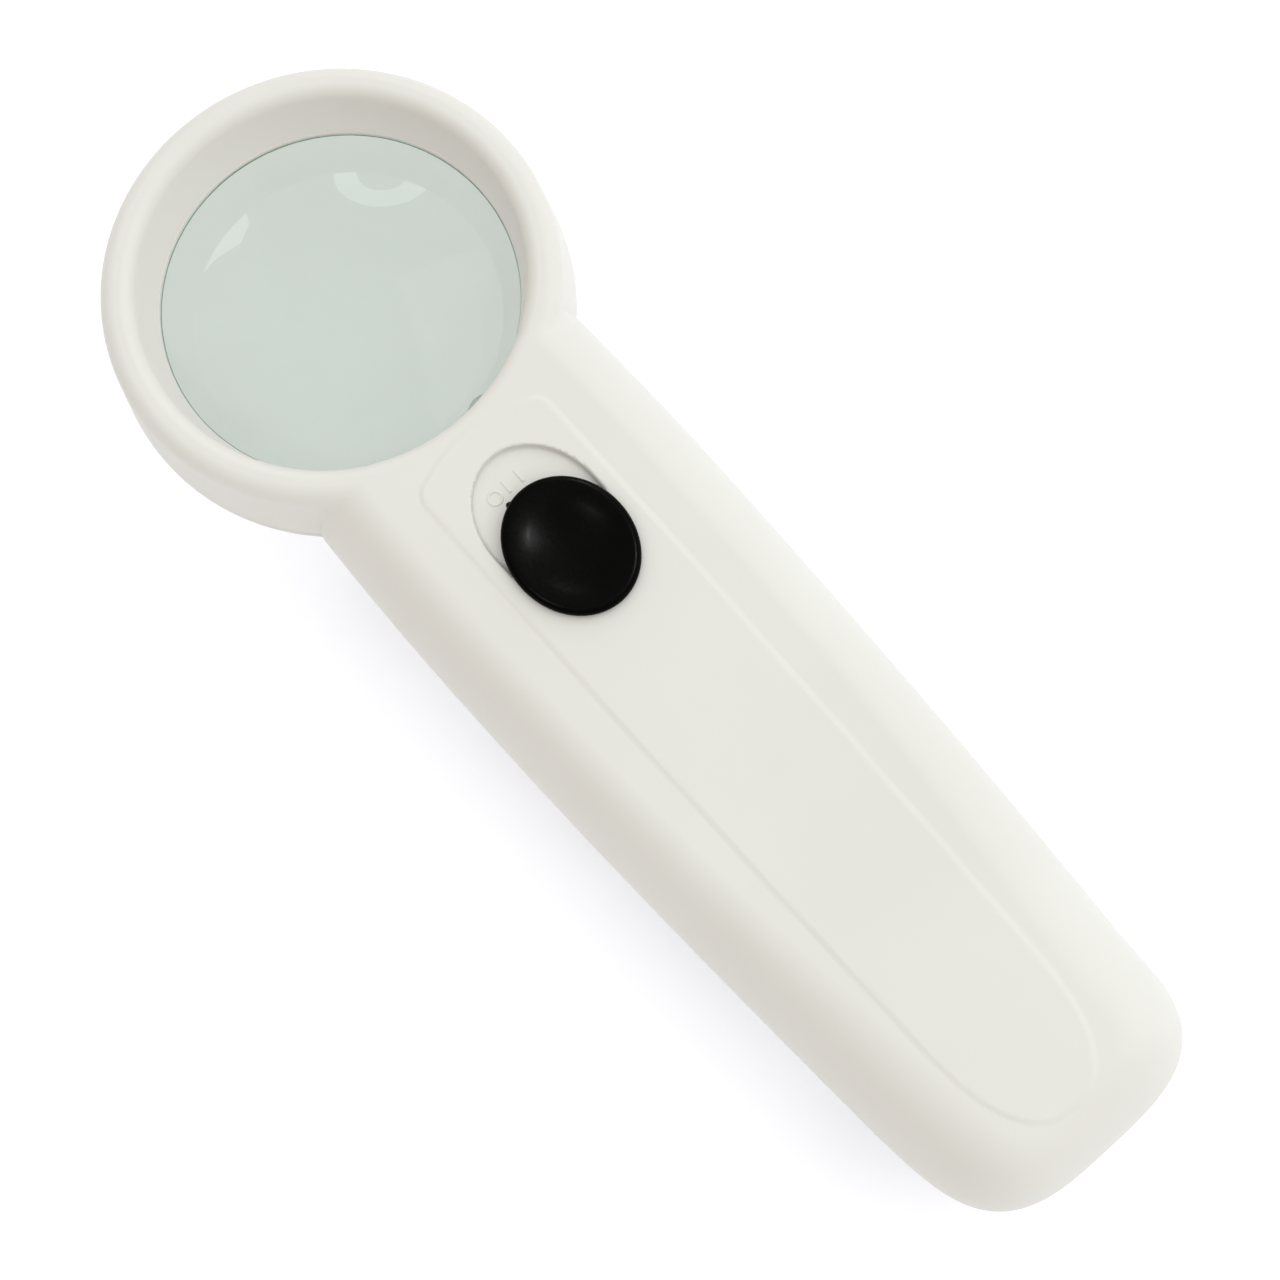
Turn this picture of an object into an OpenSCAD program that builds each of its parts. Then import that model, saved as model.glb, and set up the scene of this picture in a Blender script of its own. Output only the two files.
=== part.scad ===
// Illuminated hand magnifier: a round lens head on a flat, tapering handle that holds
// a slide switch, a small circuit board, two lamps and two round cells.
// Lengths are in millimetres. X runs from the head to the butt of the handle, Y across
// it, and Z from the flat back, which is at 0, to the front with the switch.

/* [Head] */
// Radius of the head where its wall is widest, at the seam between the shells
flare_r = 25; // [24:0.5:27]
// Radius of the head just under its rounded front edge
crest_r = 24.1; // [23.5:0.1:24.3]
// Inner radius of the front rim
rim_r = 20.35; // [20.2:0.05:20.6]
// Radius of the clear part of the lens
sight_r = 19.3; // [18.5:0.1:19.6]
// Depth from the front rim to the edge of the lens
lens_depth = 6.9; // [5.5:0.1:7.2]
// Thickness of the head from front rim to back
head_t = 11.5; // [11:0.5:13]

/* [Lens] */
// Radius of curvature of the front of the lens
lens_front_r = 58; // [50:1:90]
// Radius of curvature of the back of the lens
lens_back_r = 100; // [90:1:200]
// Thickness of the edge of the lens
lens_edge_t = 1.6; // [1:0.1:1.8]

/* [Handle] */
// Distance from the lens axis to the butt of the handle
butt_x = 116.4; // [116:0.2:122]
// Half of the largest width of the handle
grip_half_w = 19.1; // [19.1:0.1:20]
// How much narrower each side is near the butt
taper = 3; // [2:0.1:3]
// Thickness of the handle
body_t = 22; // [22:0.5:24]
// Height of the seam between the front and rear shells
seam_z = 12.5; // [12.3:0.1:12.8]
// Thickness of the shell walls
wall = 1.5; // [1.3:0.1:1.6]
// Height of the raised panel on the front of the handle
panel_h = 0.3; // [0.2:0.1:0.6]

/* [Switch] */
// Half of the width of the oval knob
knob_half_w = 6.3; // [6:0.1:6.35]
// Half of the length of the oval knob
knob_half_l = 7.4; // [7:0.1:7.5]
// Distance from the lens axis to the knob, in its off position
knob_x = 38.4; // [38.2:0.1:38.6]
// Travel of the knob towards the head, from off to on
knob_travel = 4.6; // [3:0.1:4.8]
// Depth of the well that the knob slides in
well_depth = 1.6; // [1.2:0.1:1.8]

/* [Power] */
// Diameter of a cell
cell_d = 14.5; // [14:0.1:14.5]
// Length of a cell from its flat end to its button
cell_l = 50.5; // [49:0.1:50.5]

/* [Hidden] */
$fn = 96;
EPS = 0.02;
BIG = 200;

// The object's middle is at X = 0, so the lens axis is here
head_x = -(butt_x - flare_r) / 2;

// Handle outline
shoulder_x = 17.8;
shoulder_r = 2.5;
waist_x = 36;
taper_x = 102;
round_x = 104;
front_round = 6.5;
back_round = 8;
face_z = body_t - panel_h;
head_back_z = body_t - head_t;
stations = [
    for (i = [0:5]) shoulder_x + i * shoulder_r / 5,
    for (i = [1:16]) shoulder_x + shoulder_r + i * (round_x - shoulder_x - shoulder_r) / 16
];
end_stations = 10;

// Lens and its seat
lens_seat_z = face_z - lens_depth;
pocket_r = 20.55;
lens_r = 20.4;
lens_edge_z = lens_seat_z - 0.05;
ring_clear = 0.1;
ring_gap = 0.16;
ring_l = 1.8;
opening_r = 20.6;

// Raised panel
panel_x0 = 22.2;
panel_x1 = 110.4;
panel_half_w = 8.2;

// Switch
well_r = knob_half_w + 0.25;
well_x0 = knob_x - knob_half_l - knob_travel - 0.4;
well_x1 = knob_x + knob_half_l + 0.3;
well_z = body_t - well_depth;
well_floor = 1.2;
knob_z0 = well_z + 0.15;
knob_top_z = body_t + 1.2;
dish_depth = 0.9;
stem_l = 3;
stem_w = 2.4;
slot_clear = 0.35;
carriage_l = 8;
carriage_w = 9;
carriage_z0 = 15.7;
carriage_z1 = well_z - well_floor - 0.2;
stem_z0 = carriage_z0 + 1;
guide_w = 0.9;

// Circuit board
board_x0 = 25.4;
board_x1 = 42.2;
board_w = 16.4;
board_t = 1.2;
board_z = 13.2;
board_top = board_z + board_t;
post_y = 6.9;
post_xs = [28.8, 39.8];
post_d = 2.8;
pilot_d = 1.3;
pad_t = 0.15;
pad_x0 = 28;
pad_x1 = 40;
pad_short = 6.5;
pad_w = 1.6;
leaf_t = 0.25;
foot_y = 2.9;
foot_w = 2;
rib_w = 2.8;
rib_x1 = knob_x + 2.8;
leaf_x0 = knob_x - 3;
leaf_x1 = knob_x + 3;
resistor_x = 34.6;
resistor_z = board_z - 1.2;
resistor_hole = 3.2;
wire_d = 1;
wire_x = 41.2;
wire_y = 4.8;
wire_z = 15.1;
tab_w = 1.2;
tab_x0 = 42.7;

// Lamps: each lies along a line that points down and away from the handle
lamp_d = 5;
lamp_l = 8.6;
lamp_flange_d = 5.8;
lamp_flange_t = 1;
lamp_y = 4.3;
lamp_x = 21.6;
lamp_z = 8.7;
lamp_tilt = 20;
lead_d = 0.5;
lead_y = 1.27;
lead_x = 26.7;

// Battery bay
cell_y = 7.4;
cell_z = 9.3;
bay_x0 = 44.4;
bay_x1 = 101.6;
bay_wall = 1.2;
bay_r = cell_d / 2 + 0.2;
bay_half_w = cell_y + bay_r;
tub_r = bay_r + 0.85;
button_d = 5.4;
button_l = 1;
jacket_t = 0.12;
plate_t = 0.4;
plate_w = 10;
plate_z0 = 4.8;
plate_z1 = 14.5;
contact_gap = 0.05;
spring_wire_d = 0.8;
spring_r0 = 3.9;
spring_r1 = 2.6;
spring_turns = 3;

// Battery door
door_x0 = 44.5;
door_half_w = 15.3;
door_top_z = 7.8;
door_clear = 0.2;
tongue_w = 4.4;
tongue_l = 3;
tongue_t = 1;
tongue_z = 1.9;
notch_z = 3.3;

// Screws
screw_xs = [27.5, 108.5];
screw_y = 11.2;
screw_d = 2.2;
screw_head_d = 4.2;
screw_head_t = 1.7;
cross_l = 2.8;
cross_w = 0.5;
cross_depth = 0.6;
boss_d = 5;
column_d = 6.4;
column_top = 9;
head_seat_z = 4;
ledge_z0 = 8;
ledge_z1 = 9.5;
screw_reach = 10;

// ---- Outlines -------------------------------------------------------------------

// Half width of the handle before its butt is rounded
function side(x) = grip_half_w
    - (x > waist_x ? taper * pow((x - waist_x) / (taper_x - waist_x), 1.7)
                   : 0.3 * pow((waist_x - x) / 16, 2));

// Half width at x of an outline drawn in by inset, whose ends are at x0 and x1
function half_w(x, inset, x0, x1) =
    let (corner = max(x0 + shoulder_r - x, 0),
         base = side(x) - inset - shoulder_r + sqrt(max(shoulder_r * shoulder_r - corner * corner, 0)),
         t = min(max((x - round_x + inset) / (x1 - round_x + inset), 0), 1))
    base * pow(1 - t * t * t, 1 / 3);

// Outline of the handle drawn in by inset at the sides, and by its own amount at each end
function outline(inset, head_in, butt_in) =
    let (x0 = shoulder_x + head_in,
         x1 = butt_x - butt_in,
         xs = [for (x = stations) x + head_in, for (i = [1:end_stations])
                 x1 - (x1 - round_x - head_in) * pow(1 - i / end_stations, 2)],
         up = [for (x = xs) [x, half_w(x, inset, x0, x1)]],
         down = [for (i = [len(up) - 1:-1:0]) [up[i][0], -up[i][1]]])
    concat(up, down);

// Outline of the raised panel: straight sides that close in slowly, a bowed head end
// with small corners and a round butt end
function panel_side(x) = panel_half_w - 1.2 * pow((x - 25) / 75, 2);
function panel_outline(grow) =
    let (xs = [for (i = [0:14]) 24.6 + i * (97 - 24.6) / 14],
         side_pts = [for (x = xs) [x, panel_side(x) + grow]],
         end_pts = [for (a = [10:10:80])
             [97 + (panel_x1 + grow - 97) * sin(a), (panel_side(97) + grow) * pow(cos(a), 0.8)]],
         head_pts = [for (y = [0:2:6]) [panel_x0 - grow + 1.6 * pow(y / 7.2, 2), y]],
         up = concat(head_pts, [[panel_x0 + 1.6 - grow, 7.3 + grow]], side_pts, end_pts),
         down = [for (i = [len(up) - 1:-1:1]) [up[i][0], -up[i][1]]])
    concat(up, [[panel_x1 + grow, 0]], down);

module stadium(x0, x1, r) {
    translate([x0 + r, 0]) circle(r);
    translate([x1 - r, 0]) circle(r);
    translate([x0 + r, -r]) square([x1 - x0 - 2 * r, 2 * r]);
}

module block(lo, hi) {
    translate(lo) cube(hi - lo);
}

module rod(at, d, z0, z1) {
    translate([at[0], at[1], z0]) cylinder(d = d, h = z1 - z0);
}

// Places what is drawn about the lens axis into the object's own frame
module place() {
    translate([head_x, 0, 0]) children();
}

// The whole handle as one convex body, drawn in by t on every side
module handle_body(t) {
    front_h = face_z - seam_z;
    hull() {
        for (a = [0:15:90]) {
            turn = 1 - cos(a);
            translate([0, 0, seam_z + (front_h - t) * sin(a) - EPS])
                linear_extrude(EPS)
                    polygon(outline(t + front_round * turn, t + 1.6 * turn, t + 7 * turn));
            translate([0, 0, seam_z - (seam_z - t) * sin(a)])
                linear_extrude(EPS)
                    polygon(outline(t + back_round * turn, t + 1.2 * turn, t + 8 * turn));
        }
    }
}

// The hollow inside the handle, kept clear of the head's wall
module hollow(t) {
    difference() {
        handle_body(t);
        cylinder(r = opening_r + 1.6, h = BIG, center = true);
    }
}

// ---- Shells ---------------------------------------------------------------------

// Half section of the head's wall in front of the seam
function front_wall_section() =
    let (edge_r = 1.9, inner_r = 1.2, z1 = face_z)
    concat(
        [[pocket_r, seam_z], [flare_r, seam_z]],
        [for (a = [0:15:90]) [crest_r - edge_r + edge_r * cos(a), z1 - edge_r + edge_r * sin(a)]],
        [for (a = [90:15:170]) [rim_r + inner_r + inner_r * cos(a), z1 - inner_r + inner_r * sin(a)]],
        [[sight_r, lens_seat_z], [pocket_r, lens_seat_z]]);

module front_opening() {
    translate([0, 0, lens_seat_z - EPS])
        cylinder(r1 = sight_r, r2 = rim_r, h = face_z - 1.2 - lens_seat_z + 2 * EPS);
    translate([0, 0, face_z - 1.2]) cylinder(r = rim_r, h = 10);
    translate([0, 0, -1]) cylinder(r = pocket_r, h = lens_seat_z + 1);
}

module board_posts() {
    for (x = post_xs)
        for (side_y = [-1, 1])
            rod([x, side_y * post_y], post_d, board_top + 0.05, body_t - 1.5);
}

module front_shell() {
    color([0.93, 0.93, 0.9]) place() difference() {
        union() {
            difference() {
                union() {
                    intersection() {
                        handle_body(0);
                        block([0, -BIG, seam_z], [BIG, BIG, BIG]);
                    }
                    translate([0, 0, face_z - 0.5]) linear_extrude(panel_h + 0.5) polygon(panel_outline(0));
                }
                hollow(wall);
                front_opening();
            }
            rotate_extrude() polygon(front_wall_section());
            translate([0, 0, well_z - well_floor])
                linear_extrude(well_floor + 0.8) stadium(well_x0 - 1.2, well_x1 + 1.2, well_r + 1.2);
            board_posts();
            for (side_y = [-1, 1]) {
                rod([screw_xs[0], side_y * screw_y], boss_d, column_top + 0.1, face_z - 1);
                translate([pad_x0, side_y * (carriage_w / 2 + 0.25 + guide_w / 2) - guide_w / 2, 17.2])
                    cube([board_x1 - pad_x0, guide_w, 3]);
            }
            rod([screw_xs[1], 0], boss_d, ledge_z1 + 0.1, face_z - 1);
        }
        translate([0, 0, well_z]) linear_extrude(10) stadium(well_x0, well_x1, well_r);
        block([knob_x - knob_travel - stem_l / 2 - slot_clear, -stem_w / 2 - 0.2, well_z - 3],
              [knob_x + stem_l / 2 + slot_clear, stem_w / 2 + 0.2, well_z + 1]);
        for (side_y = [-1, 1]) {
            rod([screw_xs[0], side_y * screw_y], screw_d + 0.1, 5, head_seat_z + screw_reach + 0.5);
            rod([post_xs[side_y > 0 ? 0 : 1], side_y * post_y], pilot_d + 0.1, board_z, board_top + 3.5);
        }
        rod([screw_xs[1], 0], screw_d + 0.1, 5, ledge_z0 + screw_reach + 0.5);
    }
}

// Half section of the head's wall behind the seam
function rear_wall_section() =
    let (edge_r = 1.3)
    concat(
        [[opening_r, seam_z], [opening_r, head_back_z + 0.4], [opening_r + 0.4, head_back_z]],
        [for (a = [-90:15:0]) [flare_r - edge_r + edge_r * cos(a), head_back_z + edge_r + edge_r * sin(a)]],
        [[flare_r, seam_z]]);

module lamp_line(side_y) {
    translate([lamp_x, side_y * lamp_y, lamp_z]) rotate([0, -90 - lamp_tilt, 0]) children();
}

module door_space(clear) {
    block([door_x0 - clear, -door_half_w - clear, -1], [BIG, door_half_w + clear, door_top_z + clear]);
}

// Walls and roof round the two cells
module battery_tub() {
    intersection() {
        union() {
            block([bay_x0 - bay_wall, -bay_half_w - 1.6, wall],
                  [bay_x1 + bay_wall, bay_half_w + 1.6, cell_z]);
            for (side_y = [-1, 1])
                translate([bay_x0 - bay_wall, side_y * cell_y, cell_z])
                    rotate([0, 90, 0]) cylinder(r = tub_r, h = bay_x1 - bay_x0 + 2 * bay_wall);
            block([bay_x0 - bay_wall, -cell_y, cell_z], [bay_x1 + bay_wall, cell_y, cell_z + tub_r]);
        }
        handle_body(wall + 0.15);
    }
}

module battery_bay() {
    for (side_y = [-1, 1])
        translate([bay_x0, side_y * cell_y, cell_z])
            rotate([0, 90, 0]) cylinder(r = bay_r, h = bay_x1 - bay_x0);
    block([bay_x0, -cell_y, cell_z - 1], [bay_x1, cell_y, cell_z + 3]);
    block([bay_x0, -bay_half_w, -1], [bay_x1, bay_half_w, cell_z]);
}

module rear_shell() {
    color([0.93, 0.93, 0.9]) place() difference() {
        union() {
            difference() {
                intersection() {
                    handle_body(0);
                    block([0, -BIG, -1], [BIG, BIG, seam_z]);
                }
                hollow(wall);
                cylinder(r = opening_r, h = BIG, center = true);
                door_space(door_clear);
            }
            rotate_extrude() polygon(rear_wall_section());
            difference() {
                battery_tub();
                difference() {
                    door_space(door_clear);
                    handle_body(wall + 0.15 + door_clear);
                }
            }
            intersection() {
                handle_body(0.6);
                block([bay_x1, -BIG, ledge_z0], [BIG, BIG, ledge_z1]);
            }
            for (side_y = [-1, 1]) rod([screw_xs[0], side_y * screw_y], column_d, 0.5, column_top);
        }
        battery_bay();
        intersection() {
            hollow(wall);
            block([0, -board_w / 2, -1], [board_x1, board_w / 2, seam_z + 1]);
        }
        for (side_y = [-1, 1]) {
            tab_y0 = side_y * wire_y - tab_w / 2;
            block([tab_x0, tab_y0 - 0.2, wire_z - 0.4], [bay_x0 + 0.1, tab_y0 + tab_w + 0.2, wire_z + 0.4]);
            rod([screw_xs[0], side_y * screw_y], screw_head_d + 0.4, -1, head_seat_z);
            rod([screw_xs[0], side_y * screw_y], screw_d + 0.4, -1, column_top + 1);
            lamp_line(side_y) {
                translate([0, 0, lamp_flange_t]) cylinder(d = lamp_d + 0.2, h = 20);
                translate([0, 0, -20]) cylinder(d = lamp_flange_d + 0.2, h = 20 + lamp_flange_t);
            }
        }
        rod([screw_xs[1], 0], screw_d + 0.4, 0, BIG);
        block([bay_x0 - 5, -tongue_w / 2 - 0.3, wall], [BIG, tongue_w / 2 + 0.3, notch_z]);
    }
}

module battery_door() {
    color([0.93, 0.93, 0.9]) place() {
        intersection() {
            difference() {
                handle_body(0);
                handle_body(wall);
                for (side_y = [-1, 1])
                    translate([bay_x0 - 1, side_y * cell_y, cell_z])
                        rotate([0, 90, 0]) cylinder(r = bay_r, h = bay_x1 - bay_x0 + 1);
            }
            door_space(0);
        }
        block([door_x0, -tongue_w / 2, wall - 0.3], [door_x0 + 3, tongue_w / 2, tongue_z + tongue_t]);
        block([door_x0 - tongue_l, -tongue_w / 2, tongue_z],
              [door_x0 + 3, tongue_w / 2, tongue_z + tongue_t]);
    }
}

// ---- Lens -----------------------------------------------------------------------

function sag(r, curve_r) = curve_r - sqrt(curve_r * curve_r - r * r);

module lens() {
    front_z = lens_edge_z + sag(sight_r, lens_front_r);
    back_z = lens_edge_z - lens_edge_t - sag(lens_r, lens_back_r);
    steps = 12;
    color([0.8, 0.87, 0.82, 0.4]) place() rotate_extrude() polygon(concat(
        [for (i = [0:steps]) let (r = lens_r * i / steps) [r, back_z + sag(r, lens_back_r)]],
        [for (i = [steps:-1:0]) let (r = lens_r * i / steps) [r, front_z - sag(r, lens_front_r)]]));
}

module lens_retaining_ring() {
    z1 = lens_edge_z - lens_edge_t - ring_gap;
    z0 = z1 - ring_l;
    color([0.92, 0.92, 0.9]) place() rotate_extrude() polygon([
        [pocket_r - ring_clear, z0], [pocket_r - ring_clear, z1], [sight_r + 0.6, z1],
        [sight_r - 0.2, z1 - 0.55], [sight_r - 0.2, z0 + 0.5], [sight_r + 0.3, z0]
    ]);
}

// ---- Switch ---------------------------------------------------------------------

module switch_knob() {
    dish_r = (pow(knob_half_w - 0.8, 2) + dish_depth * dish_depth) / (2 * dish_depth);
    color([0.04, 0.04, 0.04]) place() difference() {
        union() {
            for (step = [[0.5, 0], [0, 0.4]])
                translate([0, 0, knob_z0 + step[1]])
                    linear_extrude(knob_top_z - knob_z0 - step[0] - step[1])
                        stadium(knob_x - knob_half_l, knob_x + knob_half_l, knob_half_w);
            translate([0, 0, knob_top_z - 0.6]) linear_extrude(0.6)
                stadium(knob_x - knob_half_l + 0.35, knob_x + knob_half_l - 0.35, knob_half_w - 0.35);
            block([knob_x - stem_l / 2, -stem_w / 2, stem_z0],
                  [knob_x + stem_l / 2, stem_w / 2, knob_z0 + 1]);
        }
        translate([knob_x, 0, knob_top_z - dish_depth + dish_r]) sphere(r = dish_r);
    }
}

module switch_carriage() {
    color([0.85, 0.84, 0.78]) place() difference() {
        union() {
            block([knob_x - carriage_l / 2, -carriage_w / 2, carriage_z0 + 1.2],
                  [knob_x + carriage_l / 2, carriage_w / 2, carriage_z1]);
            block([knob_x - carriage_l / 2, -rib_w / 2, carriage_z0],
                  [rib_x1, rib_w / 2, carriage_z0 + 1.5]);
        }
        block([knob_x - stem_l / 2 - 0.05, -stem_w / 2 - 0.05, stem_z0 - 0.05],
              [knob_x + stem_l / 2 + 0.05, stem_w / 2 + 0.05, BIG]);
    }
}

// A bent leaf with two feet that rub on the contact strips
module switch_wiper() {
    foot_z = board_top + pad_t + 0.05;
    top_z = carriage_z0 + 1.2 - contact_gap;
    color([0.8, 0.62, 0.25]) place() {
        for (side_y = [-1, 1]) {
            y0 = side_y * foot_y - foot_w / 2;
            block([leaf_x0, y0, top_z - leaf_t], [leaf_x1, y0 + foot_w, top_z]);
            block([leaf_x0, y0, foot_z], [leaf_x0 + leaf_t, y0 + foot_w, top_z]);
            block([leaf_x0, y0, foot_z], [leaf_x0 + 1.8, y0 + foot_w, foot_z + leaf_t]);
        }
        block([leaf_x1, -foot_y - foot_w / 2, top_z - leaf_t], [leaf_x1 + 0.8, foot_y + foot_w / 2, top_z]);
    }
}

module switch_contacts() {
    color([0.85, 0.68, 0.3]) place()
        for (strip = [[-1, pad_x0, pad_x1], [1, pad_x0, pad_x0 + pad_short]])
            block([strip[1], strip[0] * foot_y - pad_w / 2, board_top],
                  [strip[2], strip[0] * foot_y + pad_w / 2, board_top + pad_t]);
}

// ---- Board and lamps ------------------------------------------------------------

// A round wire through a list of points: a ring of corners at each, joined in order.
// The first corner of every ring lies on the side of the wire that faces along across.
function unit(v) = v / norm(v);
function heading(pts, i) = unit(pts[min(i + 1, len(pts) - 1)] - pts[max(i - 1, 0)]);
module wire(pts, d, across = [0, 1, 0], sides = 8) {
    n = len(pts);
    rings = [for (i = [0:n - 1])
        let (t = heading(pts, i),
             u = unit(across - (across * t) * t),
             v = cross(t, u))
        for (k = [0:sides - 1]) pts[i] + d / 2 * (cos(360 * k / sides) * u + sin(360 * k / sides) * v)];
    walls = [for (i = [0:n - 2]) for (k = [0:sides - 1])
        let (a = i * sides + k, b = i * sides + (k + 1) % sides)
        for (face = [[a, a + sides, b + sides], [a, b + sides, b]]) face];
    polyhedron(rings, concat(walls, [[for (k = [0:sides - 1]) k],
                                     [for (k = [sides - 1:-1:0]) (n - 1) * sides + k]]));
}

module circuit_board() {
    color([0.12, 0.4, 0.2]) place() difference() {
        block([board_x0, -board_w / 2, board_z], [board_x1, board_w / 2, board_top]);
        for (i = [0, 1])
            rod([post_xs[i], (i == 0 ? 1 : -1) * post_y], pilot_d + 0.5, 0, BIG);
        for (side_y = [-1, 1])
            for (lead = [-1, 1])
                rod([lead_x, side_y * lamp_y + lead * lead_y], lead_d + 0.3, 0, BIG);
        for (way = [-1, 1]) {
            rod([resistor_x + way * resistor_hole, 0], lead_d + 0.3, 0, BIG);
            rod([wire_x, way * wire_y], wire_d + 0.3, 0, BIG);
        }
    }
}

module board_screws() {
    color([0.75, 0.75, 0.75]) place()
        for (i = [0, 1]) {
            at = [post_xs[i], (i == 0 ? 1 : -1) * post_y];
            rod(at, pilot_d, board_z - 0.1, board_top + 3.2);
            rod(at, pilot_d + 1.1, board_z - 1, board_z - contact_gap);
        }
}

module resistor() {
    color([0.8, 0.7, 0.5]) place() translate([resistor_x, 0, resistor_z]) {
        rotate([0, 90, 0]) cylinder(d = 1.7, h = 3.6, center = true);
        for (x = [-1.6, 1.6]) translate([x, 0, 0]) sphere(d = 2);
    }
}

module resistor_leads() {
    color([0.8, 0.8, 0.8]) place() translate([resistor_x, 0, 0])
        for (way = [-1, 1])
            wire([[way * 2.65, 0, resistor_z], [way * 3, 0, resistor_z],
                  [way * resistor_hole, 0, resistor_z + 0.3],
                  [way * resistor_hole, 0, board_top + 0.5]], lead_d);
}

module lamp(side_y) {
    color([0.9, 0.93, 0.95, 0.6]) place() lamp_line(side_y) {
        cylinder(d = lamp_flange_d, h = lamp_flange_t);
        cylinder(d = lamp_d, h = lamp_l - lamp_d / 2);
        translate([0, 0, lamp_l - lamp_d / 2]) sphere(d = lamp_d);
    }
}

module lamp_leads(side_y) {
    color([0.8, 0.8, 0.8]) place()
        for (lead = [-1, 1]) {
            y = side_y * lamp_y + lead * lead_y;
            wire([[lamp_x + 0.1, y, lamp_z + 0.04], [lead_x - 2.6, y, lamp_z + 0.95],
                  [lead_x - 0.9, y, lamp_z + 1.7], [lead_x - 0.1, y, lamp_z + 2.6],
                  [lead_x, y, board_z - 1], [lead_x, y, board_top + 0.6]], lead_d);
        }
}

module led_left() { lamp(-1); }
module led_right() { lamp(1); }
module led_left_leads() { lamp_leads(-1); }
module led_right_leads() { lamp_leads(1); }

// ---- Cells and their contacts ---------------------------------------------------

// Flat end of each cell; the left cell's button points to the head
left_flat_x = bay_x0 + plate_t + 2 * contact_gap + cell_l;
right_flat_x = bay_x1 - plate_t - 2 * contact_gap - cell_l;

// A cell whose flat end is at x and whose button points along way
module cell(x, side_y, way) {
    translate([x, side_y * cell_y, cell_z]) rotate([0, 90 * way, 0]) children();
}

module cell_can() {
    color([0.75, 0.76, 0.78]) {
        cylinder(d = cell_d - 2 * jacket_t - 0.02, h = cell_l - button_l);
        cylinder(d = button_d, h = cell_l);
    }
}

module cell_jacket() {
    color([0.15, 0.3, 0.55]) translate([0, 0, 0.4]) difference() {
        cylinder(d = cell_d, h = cell_l - button_l - 0.8);
        translate([0, 0, -1]) cylinder(d = cell_d - 2 * jacket_t, h = cell_l);
    }
}

module battery_left() { place() cell(left_flat_x, -1, -1) cell_can(); }
module battery_right() { place() cell(right_flat_x, 1, 1) cell_can(); }
module battery_left_jacket() { place() cell(left_flat_x, -1, -1) cell_jacket(); }
module battery_right_jacket() { place() cell(right_flat_x, 1, 1) cell_jacket(); }

module head_plate(side_y) {
    x0 = bay_x0 + contact_gap;
    tab_y0 = side_y * wire_y - tab_w / 2;
    tab_z0 = wire_z - plate_t / 2;
    color([0.8, 0.8, 0.78]) place() {
        block([x0, side_y * cell_y - plate_w / 2, plate_z0],
              [x0 + plate_t, side_y * cell_y + plate_w / 2, plate_z1]);
        block([x0, tab_y0, plate_z1 - 0.1], [x0 + plate_t, tab_y0 + tab_w, tab_z0 + plate_t]);
        block([tab_x0, tab_y0, tab_z0], [x0 + plate_t, tab_y0 + tab_w, tab_z0 + plate_t]);
    }
}

module terminal_positive() { head_plate(-1); }
module terminal_negative() { head_plate(1); }

module bridge_plate() {
    x1 = bay_x1 - contact_gap;
    color([0.8, 0.8, 0.78]) place()
        block([x1 - plate_t, -cell_y - plate_w / 2, plate_z0], [x1, cell_y + plate_w / 2, 12]);
}

// A conical spring from x0 to x1, wide at x0
module cone_spring(x0, x1, y) {
    steps = spring_turns * 16;
    inset = spring_wire_d / 2 + contact_gap;
    way = sign(x1 - x0);
    pts = [for (i = [0:steps])
        let (t = i / steps, a = 360 * spring_turns * t, r = spring_r0 + (spring_r1 - spring_r0) * t)
        [x0 + way * inset + (x1 - x0 - 2 * way * inset) * t, y + r * cos(a), cell_z + r * sin(a)]];
    wire(pts, spring_wire_d, [1, 0, 0], 6);
}

module terminal_spring() {
    color([0.82, 0.82, 0.8]) place() cone_spring(bay_x0 + contact_gap + plate_t, right_flat_x, cell_y);
}

module bridge_spring() {
    color([0.82, 0.82, 0.8]) place() cone_spring(bay_x1 - contact_gap - plate_t, left_flat_x, -cell_y);
}

// A lead from the board to the tab of a head plate
module supply_wire(side_y) {
    y = side_y * wire_y;
    wire([[wire_x, y, board_z - 0.4], [wire_x, y, board_top + 0.2], [wire_x + 0.25, y, wire_z - 0.15],
          [wire_x + 0.8, y, wire_z], [tab_x0 - contact_gap, y, wire_z]], wire_d);
}

module wire_positive() { color([0.75, 0.1, 0.1]) place() supply_wire(-1); }
module wire_negative() { color([0.08, 0.08, 0.08]) place() supply_wire(1); }

// ---- Screws ---------------------------------------------------------------------

module shell_screw(x, y, seat_z) {
    rod([x, y], screw_d, seat_z - 0.1, seat_z + screw_reach);
    difference() {
        rod([x, y], screw_head_d, seat_z - screw_head_t, seat_z - contact_gap);
        translate([x, y, seat_z - screw_head_t]) {
            block([-cross_l / 2, -cross_w / 2, -1], [cross_l / 2, cross_w / 2, cross_depth]);
            block([-cross_w / 2, -cross_l / 2, -1], [cross_w / 2, cross_l / 2, cross_depth]);
        }
    }
}

module shell_screws() {
    color([0.7, 0.7, 0.72]) place() {
        for (side_y = [-1, 1]) shell_screw(screw_xs[0], side_y * screw_y, head_seat_z);
        shell_screw(screw_xs[1], 0, ledge_z0);
    }
}

front_shell();
rear_shell();
battery_door();
lens();
lens_retaining_ring();
switch_knob();
switch_carriage();
switch_wiper();
switch_contacts();
circuit_board();
board_screws();
resistor();
resistor_leads();
led_left();
led_right();
led_left_leads();
led_right_leads();
battery_left();
battery_right();
battery_left_jacket();
battery_right_jacket();
terminal_positive();
terminal_negative();
terminal_spring();
bridge_plate();
bridge_spring();
wire_positive();
wire_negative();
shell_screws();
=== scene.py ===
from math import cos, pi, radians, sin, sqrt

import bmesh
import bpy
import numpy as np
from mathutils import Matrix, Vector
from numpy import hypot, maximum, minimum


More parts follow.
